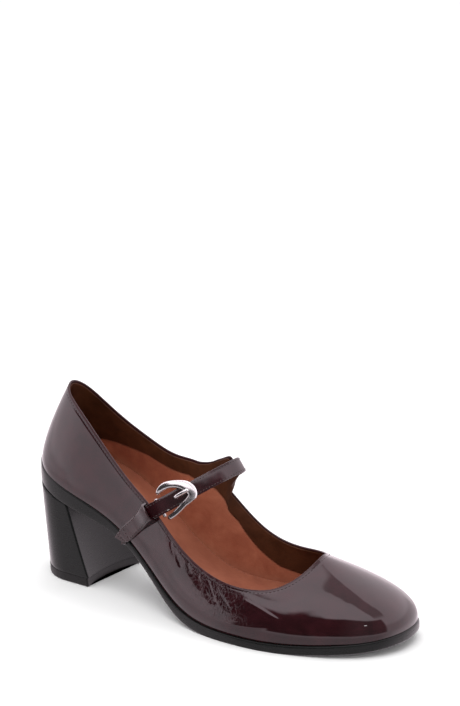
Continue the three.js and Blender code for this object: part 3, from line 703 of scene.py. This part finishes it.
def upper_piece():
    turns = fine_turns()
    levels = 92
    t, v = np.meshgrid(turns, np.linspace(0, 1, levels), indexing="ij")
    face = outer_face(t, v)
    normal = outward(t, v)
    off = crease_offset(t, v, face) * smooth(v, 0.0, 0.1) * (1 - smooth(v, 0.975, 1.0))
    per_share = np.linalg.norm(outer_face(turns, 1.0) - outer_face(turns, 0.9), axis=1) / 0.1
    from_rim = (1 - v) * per_share[:, None]
    off += -0.16 * np.exp(-((from_rim - SEAM_DROP) / 0.45) ** 2)  # groove of the stitches
    off += 0.1 * np.exp(-((from_rim - 0.8) / 0.7) ** 2)           # roll of the folded edge
    outer = face + normal * off[..., None]
    rim, rim_out = outer_face(turns, 1.0), outward(turns, 1.0)
    up = unit(rim - outer_face(turns, 0.97))
    fold = []
    for a in np.linspace(0, np.pi, 11)[1:-1]:
        depth = FOLD / 2 * (math.cos(a) - 1)
        fold.append(rim + rim_out * (depth + 0.1 * (1 + math.cos(a)) / 2) + up * 0.62 * math.sin(a))
    inner_v = np.linspace(1, 0, 14)
    inside = [on_upper(turns, w, -FOLD if w > 0.9 else -LAYER) for w in inner_v]
    rings = np.concatenate([outer, np.stack(fold, 1), np.stack(inside, 1)], 1)
    piece = make("upper_patent", *skin(rings, closed=True), PATENT, "upper")
    spare = rings.shape[1] - levels
    crumple = np.concatenate([crumple_mask(t, v), np.zeros((len(turns), spare))], 1)
    edge = 1 - smooth(from_rim, 0.3, 1.0)
    edge = 0.8 * np.concatenate([edge, np.ones((len(turns), spare))], 1)
    add_mask(piece, "crumple", crumple)
    add_mask(piece, "edge", edge)
    return piece


def lining_piece():
    turns = np.arange(0, TURNS, 1 / 16)
    top = below_rim(turns, 0.9)
    hidden = np.linspace(0, 1, 8)
    shown = np.linspace(1, 0, 120)
    hidden_side = [on_upper(turns, top * w, -FOLD - 0.02) for w in hidden]
    peak = on_upper(turns, top + 0.25 * (1 - top), -FOLD - 0.3)
    shown_side = [on_upper(turns, top * w, -FOLD - 0.62) for w in shown]
    rings = np.stack([*hidden_side, peak, *shown_side], 1)
    piece = make("lining", *skin(rings, closed=True), LINING, slot="upper")
    line = np.interp(turns, SHADE_BAND_EDGE["t"], SHADE_BAND_EDGE["v"])[:, None]
    length = np.linalg.norm(outer_face(turns, 1.0) - outer_face(turns, 0.3), axis=1)[:, None] / 0.7
    above = np.concatenate([np.full((len(turns), len(hidden) + 1), 99.0),
                            (top[:, None] * shown - line) * length], 1)
    # Painted shade: the lining above the line is coloured dark.
    add_mask(piece, "painted_shade_band", smooth(above, -0.25, 0.25))
    # Painted highlight: a lighter strip just below the band of painted shade.
    add_mask(piece, "painted_highlight_line", 0.55 * np.exp(-((above + 0.5) / 0.45) ** 2))
    return piece


def topline_stitches():
    turns = np.linspace(0.0, TURNS, 900)
    v = below_rim(turns, SEAM_DROP)
    line = on_upper(turns, v, -0.1)
    return stitch_row("topline_stitches", line, outward(turns, v), 2.2, "upper", radius=0.16)


# ---- sole and insole ----
def flare(t):
    """How far the sole's edge stands out from the featherline."""
    x = on_closed(NET, t)[..., 0]
    return mix(SEAT_FLARE, SOLE_FLARE, smooth(x, 60, 120)) - 0.8 * smooth(x, 215, 240)


def edge_point(t, out, down):
    """Point beside the featherline, pushed out (or in) and down."""
    e = 0.05
    foot = outer_face(t, 0.0)
    run = outer_face(t + e, 0.0) - outer_face(t - e, 0.0)
    n = unit(np.stack([run[..., 1], -run[..., 0], 0 * run[..., 0]], -1))
    point = foot + n * np.reshape(out, np.shape(out) + (1,))
    point[..., 2] = np.maximum(0, point[..., 2] - down)
    return point


def plate(layers, start, end, steps, across, crown=0.0):
    """A plate that follows the featherline; layers are (out, down) arrays from top to bottom."""
    t = mix(start, end, (1 - np.cos(np.pi * np.arange(steps + 1) / steps)) / 2 * 0.5
            + 0.5 * np.arange(steps + 1) / steps)
    lateral = np.stack([edge_point(t, out(t), down(t)) for out, down in layers], 1)
    medial = np.stack([edge_point(TURNS - t, out(t), down(t)) for out, down in layers], 1)
    share = (np.arange(1, across) / across)[None, :, None]
    top = mix(lateral[:, :1], medial[:, :1], share)
    top[..., 2] += crown * np.sin(np.pi * share[..., 0]) ** 0.7
    bottom = mix(medial[:, -1:], lateral[:, -1:], share)
    return np.concatenate([lateral[:, ::-1], top, medial, bottom], 1)


def sole_thickness(t):
    return on_closed(SOLE_ROWS, t)[..., 0]


def outsole_piece():
    def top(inset, depth):
        return (lambda t: flare(t) - inset, lambda t: GAP + depth + 0 * t)

    def bottom(inset, depth):
        return (lambda t: flare(t) - inset, lambda t: sole_thickness(t) - depth)

    def side(share, bulge):
        return (lambda t: flare(t) + bulge,
                lambda t: mix(GAP + 0.75, sole_thickness(t) - 0.8, share))

    layers = [top(1.1, 0), top(0.65, 0.04), top(0.3, 0.18), top(0.08, 0.42)]
    layers += [side(s, 0.12 * math.sin(math.pi * s)) for s in np.linspace(0, 1, 7)]
    layers += [bottom(0.1, 0.42), bottom(0.35, 0.16), bottom(0.7, 0.03), bottom(1.2, 0.0)]
    rings = plate(layers, 0.004, HALF_TURN - 0.004, 330, 14)
    return make("outsole_fine", *skin(rings), BLACK, "outsole")


def sock_piece():
    def layer(inset, height):
        return (lambda t: 0 * t - WALL - GAP - inset, lambda t: 0 * t - height)

    layers = [layer(1.9, BOARD), layer(1.4, BOARD - 0.05), layer(1.05, BOARD - 0.3),
              layer(0.8, BOARD - 0.9), layer(0.5, BOARD - 2.2), layer(0.2, 0.1)]
    rings = plate(layers, 0.3, HALF_TURN - 0.3, 260, 28, crown=0.5)
    return make("sock", *skin(rings), SOCK, "insole")


# ---- heel ----
def heel_outline(h, corner=1.3):
    """Outline at share h between ground (0) and seat (1), with eased front corners."""
    back, front, half, hollow, side = (
        mix(HEEL_GROUND[k], HEEL_SEAT[k], h) for k in ("back", "front", "half", "hollow", "side"))
    a = np.linspace(-np.pi / 2, np.pi / 2, 72)
    arc = np.stack([front - side - (front - side - back) * np.cos(a), half * np.sin(a)], 1)
    y = np.linspace(half, -half, 36)
    breast = np.stack([front - hollow * (1 - (y / half) ** 2), y], 1)

    def bend(before, point, after):
        s = np.linspace(0, 1, 7)[:, None]
        return (1 - s) ** 2 * before + 2 * s * (1 - s) * point + s**2 * after

    medial, lateral = np.array([front, half]), np.array([front, -half])
    on_breast = (front - hollow * (1 - ((half - corner) / half) ** 2), half - corner)
    keep = np.abs(breast[:, 1]) < half - corner
    return np.concatenate([
        arc,
        bend(np.array([front - corner, half]), medial, np.array(on_breast)),
        breast[keep],
        bend(np.array([on_breast[0], -on_breast[1]]), lateral, np.array([front - corner, -half]))])


def sole_under(x):
    """Underside of the sole over the heel, by x."""
    t = np.linspace(0, 5, 400)
    edge = edge_point(t, flare(t) - 0.7, 0 * t)
    under = edge_point(t, 0 * t, sole_thickness(t))
    return np.interp(x, edge[:, 0], under[:, 2])


def inset(outline, amount):
    """The outline drawn in towards its middle by an amount."""
    run = np.roll(outline, -1, 0) - np.roll(outline, 1, 0)
    n = unit(np.stack([run[:, 1], -run[:, 0]], 1))
    middle = outline.mean(0)
    n *= np.sign(np.einsum("ij,ij->i", n, outline - middle))[:, None]
    return outline - n * amount


def at_height(ring, z):
    """A plan outline raised to z."""
    return np.column_stack([ring, z + 0 * ring[:, 0]])


def heel_piece():
    """The block, with eased edges at the lift and under the sole."""
    rings = []
    ground = LIFT + 0.05
    levels = np.linspace(0, 1, 30)
    foot = heel_outline(0)
    for drop, amount in ((0.0, 0.3), (0.06, 0.1), (0.2, 0.02)):
        ring = inset(foot, amount)
        rings.append(at_height(ring, ground + drop))
    for h in levels[1:-1]:
        ring = heel_outline(h)
        rings.append(at_height(ring, mix(ground, sole_under(ring[:, 0]) - GAP, h)))
    seat = heel_outline(1)
    for drop, amount in ((0.55, 0.1), (0.2, 0.35), (0.05, 0.8)):
        ring = inset(seat, amount)
        rings.append(at_height(ring, sole_under(ring[:, 0]) - GAP - drop))
    middle = np.array([18, 0])
    for k in (0.8, 0.5, 0.2):
        ring = mix(middle, seat, k)
        rings.append(at_height(ring, sole_under(ring[:, 0]) - GAP))
    return make("heel_block", *skin(rings), BLACK, "heel")


def lift_piece():
    rings = []
    for z, amount in ((0.0, 0.9), (0.06, 0.45), (0.35, 0.1), (0.9, 0.0), (2.5, 0.0), (4.1, 0.0),
                      (4.8, 0.02), (4.92, 0.1), (4.95, 0.3)):
        rings.append(at_height(inset(heel_outline(0.06 * z / LIFT), amount), z))
    return make("top_lift_fine", *skin(rings), RUBBER, "top_lift")


# ---- lateral tab ----
def tab_spot(t, v, off):
    """A spot on the quarter, or on the sole's edge where v is below the featherline."""
    on_sole = edge_point(t, off + flare(t), -np.minimum(v, 0) * 40)
    over = off + flare(t) * (1 - smooth(v, 0, 0.15))
    return np.where((v < 0)[..., None], on_sole, on_upper(t, np.maximum(v, 0), over))


def step_across(t, v, step, off):
    """The (t, v) reached by a step of given millimetres over the face."""
    e = 0.02
    pt = (tab_spot(t + e, v, off) - tab_spot(t - e, v, off)) / (2 * e)
    pv = (tab_spot(t, v + e, off) - tab_spot(t, v - e, off)) / (2 * e)
    a, b, c = (np.sum(x * y, -1) for x, y in ((pt, pt), (pt, pv), (pv, pv)))
    d, f = np.sum(step * pt, -1), np.sum(step * pv, -1)
    det = a * c - b * b
    return t + (d * c - f * b) / det, v + (a * f - b * d) / det


TAB_STEPS = 90


def tab_rows(steps):
    """Along the tab: share up it, its (t, v), half width and the way across."""
    h = np.linspace(0, 1, steps)
    t = mix(TAB["t_foot"], TAB["t_top"], h)
    v = mix(TAB["v_foot"], TAB["v_top"], h)
    off = np.full(h.shape, GAP)
    ahead = unit(tab_spot(t + 0.02, v + 0.0198, off) - tab_spot(t, v, off))
    side = unit(np.cross(ahead, outward(t, np.maximum(0.02, v))))
    opening = smooth(h, 0.5, 1)
    return h, t, v, opening, mix(TAB["width"], TAB["mouth"], opening) / 2, side


def tab_face(w, height):
    """The line up the tab at share w across (-1 to 1), a height above its leather's foot."""
    h, t, v, opening, half, side = tab_rows(TAB_STEPS)
    cut = 0.045 * w * (1 - smooth(h, 0, 0.25))
    tt, vv = step_across(t, v + cut, side * (half * w)[:, None], np.full(h.shape, GAP))
    raised = GAP + TAB["lift"] * opening * (1 - w**6)
    return tab_spot(tt, np.minimum(vv, 1), raised + height)


def tab_piece():
    across = np.sin(np.linspace(-1, 1, 29) * np.pi / 2)
    thick = TAB["thick"]
    inner = [tab_face(w * 0.985, 0.0) for w in across]
    outer = [tab_face(w, thick * (1 - 0.35 * abs(w) ** 14)) for w in across[::-1]]
    low = [tab_face(s, thick * 0.3) for s in (1, -1)]
    rings = np.stack([*inner, low[0], *outer, low[1]], 1)
    first, last = rings[0], rings[-1]
    ahead = unit(rings[-1].mean(0) - rings[-3].mean(0))
    lip = mix(last, last.mean(0), 0.02) + ahead * 0.35
    foot = mix(first, first.mean(0), 0.03) - unit(rings[2].mean(0) - first.mean(0)) * 0.15
    return make("side_tab_fine", *skin(np.concatenate([[foot], rings, [lip]])), PATENT_STRAP,
                "side_tab", sharp=65)


def tab_stitches():
    inset_share = 0.76
    for side, name in ((-1, "tab_stitches_back"), (1, "tab_stitches_front")):
        line = tab_face(side * inset_share, TAB["thick"] - 0.05)
        above = tab_face(side * inset_share, TAB["thick"] + 1)
        keep = slice(4, 84)
        stitch_row(name, line[keep], (above - line)[keep], 2.0, "side_tab")
    for row, name in ((4, "tab_stitches_foot"), (22, "tab_stitches_box")):
        w = np.linspace(-inset_share, inset_share, 12)
        line = np.stack([tab_face(k, TAB["thick"] - 0.05)[row] for k in w])
        above = np.stack([tab_face(k, TAB["thick"] + 1)[row] for k in w])
        stitch_row(name, line, above - line, 2.0, "side_tab")


# ---- strap ----
def spot(t, v, off):
    return on_upper(np.array(float(t)), np.array(float(v)), np.array(float(off)))


MOUTH = spot(TAB["t_top"], 0.95, GAP + STRAP["thick"] / 2 + 0.1)
UP_TAB = unit(MOUTH - spot(TAB["t_foot"], 0.02, GAP + STRAP["thick"] / 2 + 0.1))
OVER_INSTEP = unit([25.2, 49.2, 19.6])
ACROSS = unit(np.cross(OVER_INSTEP, UP_TAB))
INWARD = unit(np.cross(UP_TAB, ACROSS))
STRAP_LINE = by_length(catmull(np.stack([STRAP_PATH["p"], STRAP_PATH["q"]], 1),
                               np.linspace(0, 1, 1200)), 1200)
STRAP_LENGTH = np.linalg.norm(np.diff(STRAP_LINE, axis=0), axis=1).sum()
STRAP_WAY = unit(np.gradient(STRAP_LINE, axis=0))


def strap_frame(length):
    """On the strap at lengths from its free end: points, directions, and the way off it."""
    share = np.atleast_1d(length) / STRAP_LENGTH * (len(STRAP_LINE) - 1)
    at = [np.interp(share, np.arange(len(STRAP_LINE)), STRAP_LINE[:, k]) for k in (0, 1)]
    to = [np.interp(share, np.arange(len(STRAP_LINE)), STRAP_WAY[:, k]) for k in (0, 1)]
    point = MOUTH + at[0][:, None] * UP_TAB + at[1][:, None] * INWARD
    along = unit(to[0][:, None] * UP_TAB + to[1][:, None] * INWARD)
    return point, along, unit(np.cross(ACROSS, along))


def on_strap(length, w, n):
    point, _, off = strap_frame(length)
    return point + np.reshape(w, (-1, 1)) * ACROSS + np.reshape(n, (-1, 1)) * off


BAR_AT = BUCKLE["tail"] + BUCKLE["from_mouth"]
HOLES_AT = [BAR_AT - 0.2 + k * HOLE_PITCH for k in range(3)]


def cut_holes(piece, cutter_points):
    """Punches round holes through a piece, one for each pair of ends."""
    loops = [skin(rings) for rings in cutter_points]
    points, faces, start = [], [], 0
    for part, (quads, *caps) in loops:
        points.append(part)
        faces += [[i + start for i in q] for q in quads.tolist()]
        faces += [[i + start for i in cap[0]] for cap in caps]
        start += len(part)
    mesh = bpy.data.meshes.new("cutter")
    mesh.from_pydata(place(np.concatenate(points)).tolist(), [], faces)
    cutter = bpy.data.objects.new("cutter", mesh)
    bpy.context.scene.collection.objects.link(cutter)
    cut = piece.modifiers.new("holes", "BOOLEAN")
    cut.operation, cut.solver, cut.object = "DIFFERENCE", "EXACT", cutter
    shown = piece.evaluated_get(bpy.context.evaluated_depsgraph_get())
    result = bpy.data.meshes.new_from_object(shown)
    piece.modifiers.clear()
    piece.data = result
    bpy.data.objects.remove(cutter)
    result.set_sharp_from_angle(angle=math.radians(40))


def strap_layer(name, low, high, half, material, slot, node=None, crown=0.0):
    """One layer of the strap between two heights off its middle plane."""
    d = np.concatenate([[0, 0.25, 0.8, 1.7, 3.0], np.linspace(4, STRAP_LENGTH, 170)])
    tip = np.sqrt(np.clip(1 - (1 - np.minimum(d / 3.2, 1)) ** 2 * 0.8, 0, 1))
    ease = min(0.35, (high - low) * 0.45)
    corner = [(1, -1), (1, 1), (-1, 1), (-1, -1)]
    profile = []
    for (sw, sn) in corner:
        w0, n0 = sw * (half - ease), (high - ease) if sn > 0 else (low + ease)
        start = math.atan2(sn, sw)
        for a in np.linspace(start - np.pi / 4, start + np.pi / 4, 5):
            profile.append((w0 + ease * math.cos(a), n0 + ease * math.sin(a)))
        if (sw, sn) == (1, 1):
            for w in np.linspace(half - 2 * ease, -half + 2 * ease, 9):
                profile.append((w, high + crown * (1 - (w / half) ** 4)))
    profile = np.array(profile)
    rings = np.stack([on_strap(d, w * tip, n) for w, n in profile], 1)
    piece = make(name, *skin(rings), material, node, slot, sharp=70)
    cutters = []
    for hole in HOLES_AT:
        point, along, off = strap_frame(hole)
        ends = np.concatenate([point - 3 * off, point + 3 * off])
        r = STRAP["hole"] * 0.8
        cutters.append(rod(ends, np.repeat(along, 2, 0) * r, np.repeat([ACROSS], 2, 0) * r, 24))
    cut_holes(piece, cutters)
    return piece


def strap_pieces():
    half, h = STRAP["width"] / 2, STRAP["thick"] / 2
    strap_layer("strap_patent", -0.1, h, half, PATENT_STRAP, "strap", "strap", crown=0.12)
    strap_layer("strap_lining", -h, -0.12, half - 0.25, STRAP_BACK, "strap")
    d = np.linspace(3.0, STRAP_LENGTH - 0.5, 300)
    for w, name in ((half - 1.2, "strap_stitches_front"), (1.2 - half, "strap_stitches_back")):
        line = on_strap(d, w, h + 0.02)
        _, _, off = strap_frame(d)
        stitch_row(name, line, off, 1.9, "strap")


# ---- buckle ----
BASE, FAR = strap_frame(BAR_AT)[0][0], strap_frame(BAR_AT + 17)[0][0]
RUN = unit(FAR - BASE)
LIFTED = unit(np.cross(ACROSS, RUN))
BAR_ALONG, PRONG_ASIDE = 0.6, -0.6
BAR_DROP = -(STRAP["thick"] / 2 + 2 * GAP + CHAPE["thick"] + BUCKLE["bar"])


def on_buckle(s, w, n):
    s, w, n = (np.reshape(np.asarray(x, float), (-1, 1)) for x in (s, w, n))
    return BASE + s * RUN + w * ACROSS + n * LIFTED


def buckle_frame_piece():
    steps = 150
    u = np.linspace(0, 1, steps)
    path = catmull(np.stack([FRAME_BENT[k] for k in ("s", "w", "n")], 1), u)
    size = catmull(np.stack([FRAME_BENT[k] for k in ("wide", "high")], 1), u)
    way = unit(np.gradient(path, axis=0))
    side = unit(np.stack([-way[:, 1], way[:, 0]], 1))
    ends = np.sqrt(np.clip(np.minimum(u, 1 - u) * 60, 0.12, 1))[:, None]
    turn = math.radians(FRAME_TILT)
    across = math.cos(turn) * ACROSS + math.sin(turn) * LIFTED
    beside = (side[:, :1] * RUN + side[:, 1:] * across) * size[:, :1] * ends
    lifted = (math.cos(turn) * LIFTED - math.sin(turn) * ACROSS) * size[:, 1:] * ends
    rings = rod(on_buckle(*path.T), beside, lifted, 40, power=2.7)
    return make("buckle_frame_fine", *skin(rings), SILVER, "buckle_frame", sharp=60)


def hook(start, end, radius, count):
    """Turns of a hook round the bar, as (s, n)."""
    a = np.radians(np.linspace(start, end, count))
    return np.stack([BAR_ALONG + radius * np.cos(a), BAR_DROP + radius * np.sin(a)], 1)


def buckle_bar_piece():
    w = np.array([-5.3, -5.2, -4.9, 0, 5.7, 6.0, 6.1])
    thick = BUCKLE["bar"] * np.array([0.6, 0.86, 1, 1, 1, 0.86, 0.6])[:, None]
    rings = rod(on_buckle(BAR_ALONG, w, BAR_DROP), RUN * thick, LIFTED * thick, 28)
    return make("buckle_bar_fine", *skin(rings), SILVER, "buckle_bar")


def buckle_prong_piece():
    eye = hook(20, 275, BUCKLE["bar"] + GAP + 0.6, 7)
    path = np.concatenate([eye, np.stack([PRONG_BENT["s"], PRONG_BENT["n"]], 1)])
    steps = 120
    u = np.linspace(0, 1, steps)
    line = by_length(catmull(path, np.linspace(0, 1, 600)), steps)
    way = unit(np.gradient(line, axis=0))
    thick = (mix(0.6, 1.3 * BUCKLE["prong"], smooth(u, 0.55, 0.8))
             * np.sqrt(np.clip(np.minimum(u * 90, (1 - u) * 40), 0.1, 1)))[:, None]
    centre = on_buckle(line[:, 0], PRONG_ASIDE, line[:, 1])
    lifted = unit(-way[:, 1:] * RUN + way[:, :1] * LIFTED)
    rings = rod(centre, ACROSS * thick, lifted * thick, 20)
    return make("buckle_prong_fine", *skin(rings), SILVER, "buckle_prong")


def chape_piece():
    """Band from inside the quarter up to the bar and hooked round it."""
    depth = WALL + 2 * GAP + CHAPE["thick"] / 2
    inside = [spot(TAB["t_top"], v, -depth) for v in (0.72, 0.8, 0.88, 0.96)]
    turns = hook(215, -40, BUCKLE["bar"] + GAP + CHAPE["thick"] / 2, 8)
    path = np.concatenate([np.stack(inside), on_buckle(turns[:, 0], 0, turns[:, 1])])
    line = by_length(catmull(path, np.linspace(0, 1, 600)), 80)
    way = unit(np.gradient(line, axis=0))
    off = unit(np.cross(np.broadcast_to(ACROSS, way.shape), way))
    rings = rod(line, np.broadcast_to(ACROSS, way.shape) * CHAPE["width"] / 2 * 1.05,
                off * CHAPE["thick"] / 2 * 1.05, 28, power=7)
    piece = make("chape_fine", *skin(rings), PATENT_STRAP, "chape", sharp=60)
    ends = on_buckle([-4, 6], PRONG_ASIDE, BAR_DROP)
    reach = CHAPE["slot"] / math.sqrt(2) / 2
    slot = rod(ends, np.repeat([LIFTED], 2, 0) * 3.5, np.repeat([ACROSS], 2, 0) * reach, 4)
    cut_holes(piece, [slot])
    return piece


# ---- studio ----
CAMERA_TURN, CAMERA_RISE = 37.0, 21.0     # degrees: where the camera stands from its target
VIEW_TURN, VIEW_PITCH = 36.577, 16.408    # degrees: the way it looks
CAMERA_FAR = 1.4                          # metres
CAMERA_LENS = 126.69
TARGET = (0.093, 0.0, 0.030)


def toward(azimuth, elevation):
    """Direction from the object at an azimuth (0 looks along +Y, 90 along -X) and elevation."""
    a, e = math.radians(azimuth), math.radians(elevation)
    return Vector((math.sin(a) * math.cos(e), -math.cos(a) * math.cos(e), math.sin(e)))


def camera():
    data = bpy.data.cameras.new("camera")
    data.lens = CAMERA_LENS
    data.clip_start, data.clip_end = 0.05, 50
    eye = bpy.data.objects.new("camera", data)
    eye.location = Vector(TARGET) + toward(CAMERA_TURN, CAMERA_RISE) * CAMERA_FAR
    back = toward(VIEW_TURN, VIEW_PITCH)
    eye.rotation_mode = "QUATERNION"
    eye.rotation_quaternion = (-back).to_track_quat("-Z", "Y")
    bpy.context.scene.collection.objects.link(eye)
    bpy.context.scene.camera = eye


DOME = 1.0                     # brightness of the room to matt surfaces
ROOM_TINT = (1.13, 1.0, 1.07)  # colour of the room in the gloss
CEILING, WALLS = 1.28, 1.15    # its brightness there: over the camera, and round the toe
FAR_WALL = 0.45                # how much brighter straight across the shoe
CEILING_GAP = 0.47             # the gap between the ceiling's two panels
NEAR_FLOOR, FAR_FLOOR = 0.50, 1.25
DARK = 0.02                    # the unlit side behind the camera


def softbox(name, place_at, wide, high, strength):
    """A soft lamp the camera doesn't see. The ceiling's lamps face down and are left out of
    the gloss, where the world's own room stands in for them."""
    data = bpy.data.lights.new(name, "AREA")
    data.shape, data.size, data.size_y = "RECTANGLE", wide, high
    data.energy = 4 * strength * wide * high
    lamp = bpy.data.objects.new(name, data)
    lamp.location = Vector(TARGET) + Vector(place_at)
    lamp.rotation_mode = "QUATERNION"
    down = name.startswith("ceiling")
    aim = Vector((0, 0, -1)) if down else -Vector(place_at)
    lamp.rotation_quaternion = (1, 0, 0, 0) if down else aim.to_track_quat("-Z", "Y")
    lamp.visible_camera = False
    lamp.visible_glossy = not down
    bpy.context.scene.collection.objects.link(lamp)


def floor():
    mesh = bpy.data.meshes.new("floor")
    r = 12
    mesh.from_pydata([(-r, -r, 0), (r, -r, 0), (r, r, 0), (-r, r, 0)], [], [(0, 1, 2, 3)])
    material, n = finish("pale_floor")
    n.feed(Base_Color=n.ramp(n.noise(60, 2), (0.3, grey(0.90)), (0.7, grey(0.915))))
    n.set(Roughness=0.9, Specular_IOR_Level=0.1)
    mesh.materials.append(material)
    ground = bpy.data.objects.new("floor", mesh)
    ground.location = (0, 0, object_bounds()[0].z - 0.0002)
    ground.visible_glossy = False
    bpy.context.scene.collection.objects.link(ground)
    ground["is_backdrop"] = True


def world():
    """White to the camera and to matt surfaces. Gloss sees a bright room that is unlit behind
    the camera and has a dimmer gap along the ceiling."""
    scene = bpy.context.scene
    scene.world = bpy.data.worlds.new("studio")
    scene.world.use_nodes = True
    n = Nodes(scene.world)
    n.tree.nodes.clear()
    axes = n.add("ShaderNodeSeparateXYZ")
    n.link(n.add("ShaderNodeTexCoord").outputs["Generated"], axes.inputs[0])
    x, y, z = axes.outputs
    turn = n.math("ARCTAN2", x, n.math("MULTIPLY", y, -1.0))

    def both(a, b):
        return n.math("MULTIPLY", a, b)

    def mixed(share, a, b):
        """From a to b by the share."""
        return n.math("ADD", both(a, n.math("SUBTRACT", 1.0, share)), both(b, share))

    walls = n.math("ADD", both(n.rise(y, 0.1, 1.0), FAR_WALL), WALLS)
    over = both(n.rise(z, 0.6, 0.8), n.rise(y, 0.0, -0.15))
    room = mixed(over, walls, CEILING)
    near_heel = both(n.rise(turn, -1.0, -0.6), n.rise(z, 0.4, 0.2))
    room = both(room, n.math("SUBTRACT", 1.0, both(near_heel, 0.3)))
    ground = mixed(n.rise(y, -0.25, 0.5), NEAR_FLOOR, FAR_FLOOR)
    ground = n.math("ADD", ground, both(n.rise(x, -0.45, -0.65), 0.15))
    room = mixed(n.rise(z, -0.1, -0.35), room, ground)
    aside = n.math("ABSOLUTE", n.math("SUBTRACT", n.math("ADD", y, both(x, 0.1)), 0.10))
    low_band = both(n.rise(z, 0.03, -0.05), n.rise(z, -0.33, -0.24))
    low_heel = both(n.rise(turn, -0.74, -0.88), low_band)
    room = both(room, n.math("SUBTRACT", 1.0, both(low_heel, 0.26)))
    gap = both(both(n.rise(aside, 0.145, 0.115), n.rise(x, -0.25, -0.18)),
               both(n.rise(z, 0.60, 0.68), n.rise(x, 0.75, 0.6)))
    room = mixed(gap, room, CEILING_GAP)
    # the unlit part behind the camera: left edge and top change round and up the room
    left = n.math("SUBTRACT", -0.50, both(n.rise(z, 0.1, 0.25), 0.36))
    top = n.math("SUBTRACT", 0.78, both(n.rise(turn, 0.5, 1.5), 0.12))
    top = n.math("ADD", top, both(n.rise(turn, 0.3, -0.25), 0.12))
    sector = both(n.rise(n.math("SUBTRACT", turn, left), -0.05, 0.05), n.rise(turn, 1.60, 1.52))
    band = both(n.rise(z, -0.20, -0.12), n.rise(n.math("SUBTRACT", z, top), 0.03, -0.03))
    unlit = n.math("ADD", both(n.rise(turn, 0.4, 0.9), 0.1), DARK)
    room = mixed(both(sector, band), room, unlit)
    tinted = n.add("ShaderNodeVectorMath", operation="SCALE")
    tinted.inputs[0].default_value = ROOM_TINT
    n.link(room, tinted.inputs["Scale"])
    gloss = tinted.outputs["Vector"]
    ray = n.add("ShaderNodeLightPath").outputs
    matt = n.blend(ray["Is Diffuse Ray"], gloss, grey(DOME))
    seen = n.blend(ray["Is Camera Ray"], matt, grey(1.0))
    light = n.add("ShaderNodeBackground")
    n.link(seen, light.inputs["Color"])
    n.link(light.outputs["Background"], n.add("ShaderNodeOutputWorld").inputs["Surface"])
    scene.view_settings.view_transform = "Standard"


upper_piece()
lining_piece()
topline_stitches()
outsole_piece()
sock_piece()
heel_piece()
lift_piece()
tab_piece()
tab_stitches()
strap_pieces()
buckle_frame_piece()
buckle_bar_piece()
buckle_prong_piece()
chape_piece()
camera()
floor()
world()
softbox("ceiling_lateral", (-0.10, -0.64, 1.45), 1.9, 0.95, 1.5)
softbox("ceiling_medial", (-0.15, 0.78, 1.45), 1.9, 0.95, 1.3)
softbox("glint", (1.2, -0.66, 0.70), 0.10, 0.05, 6.0)
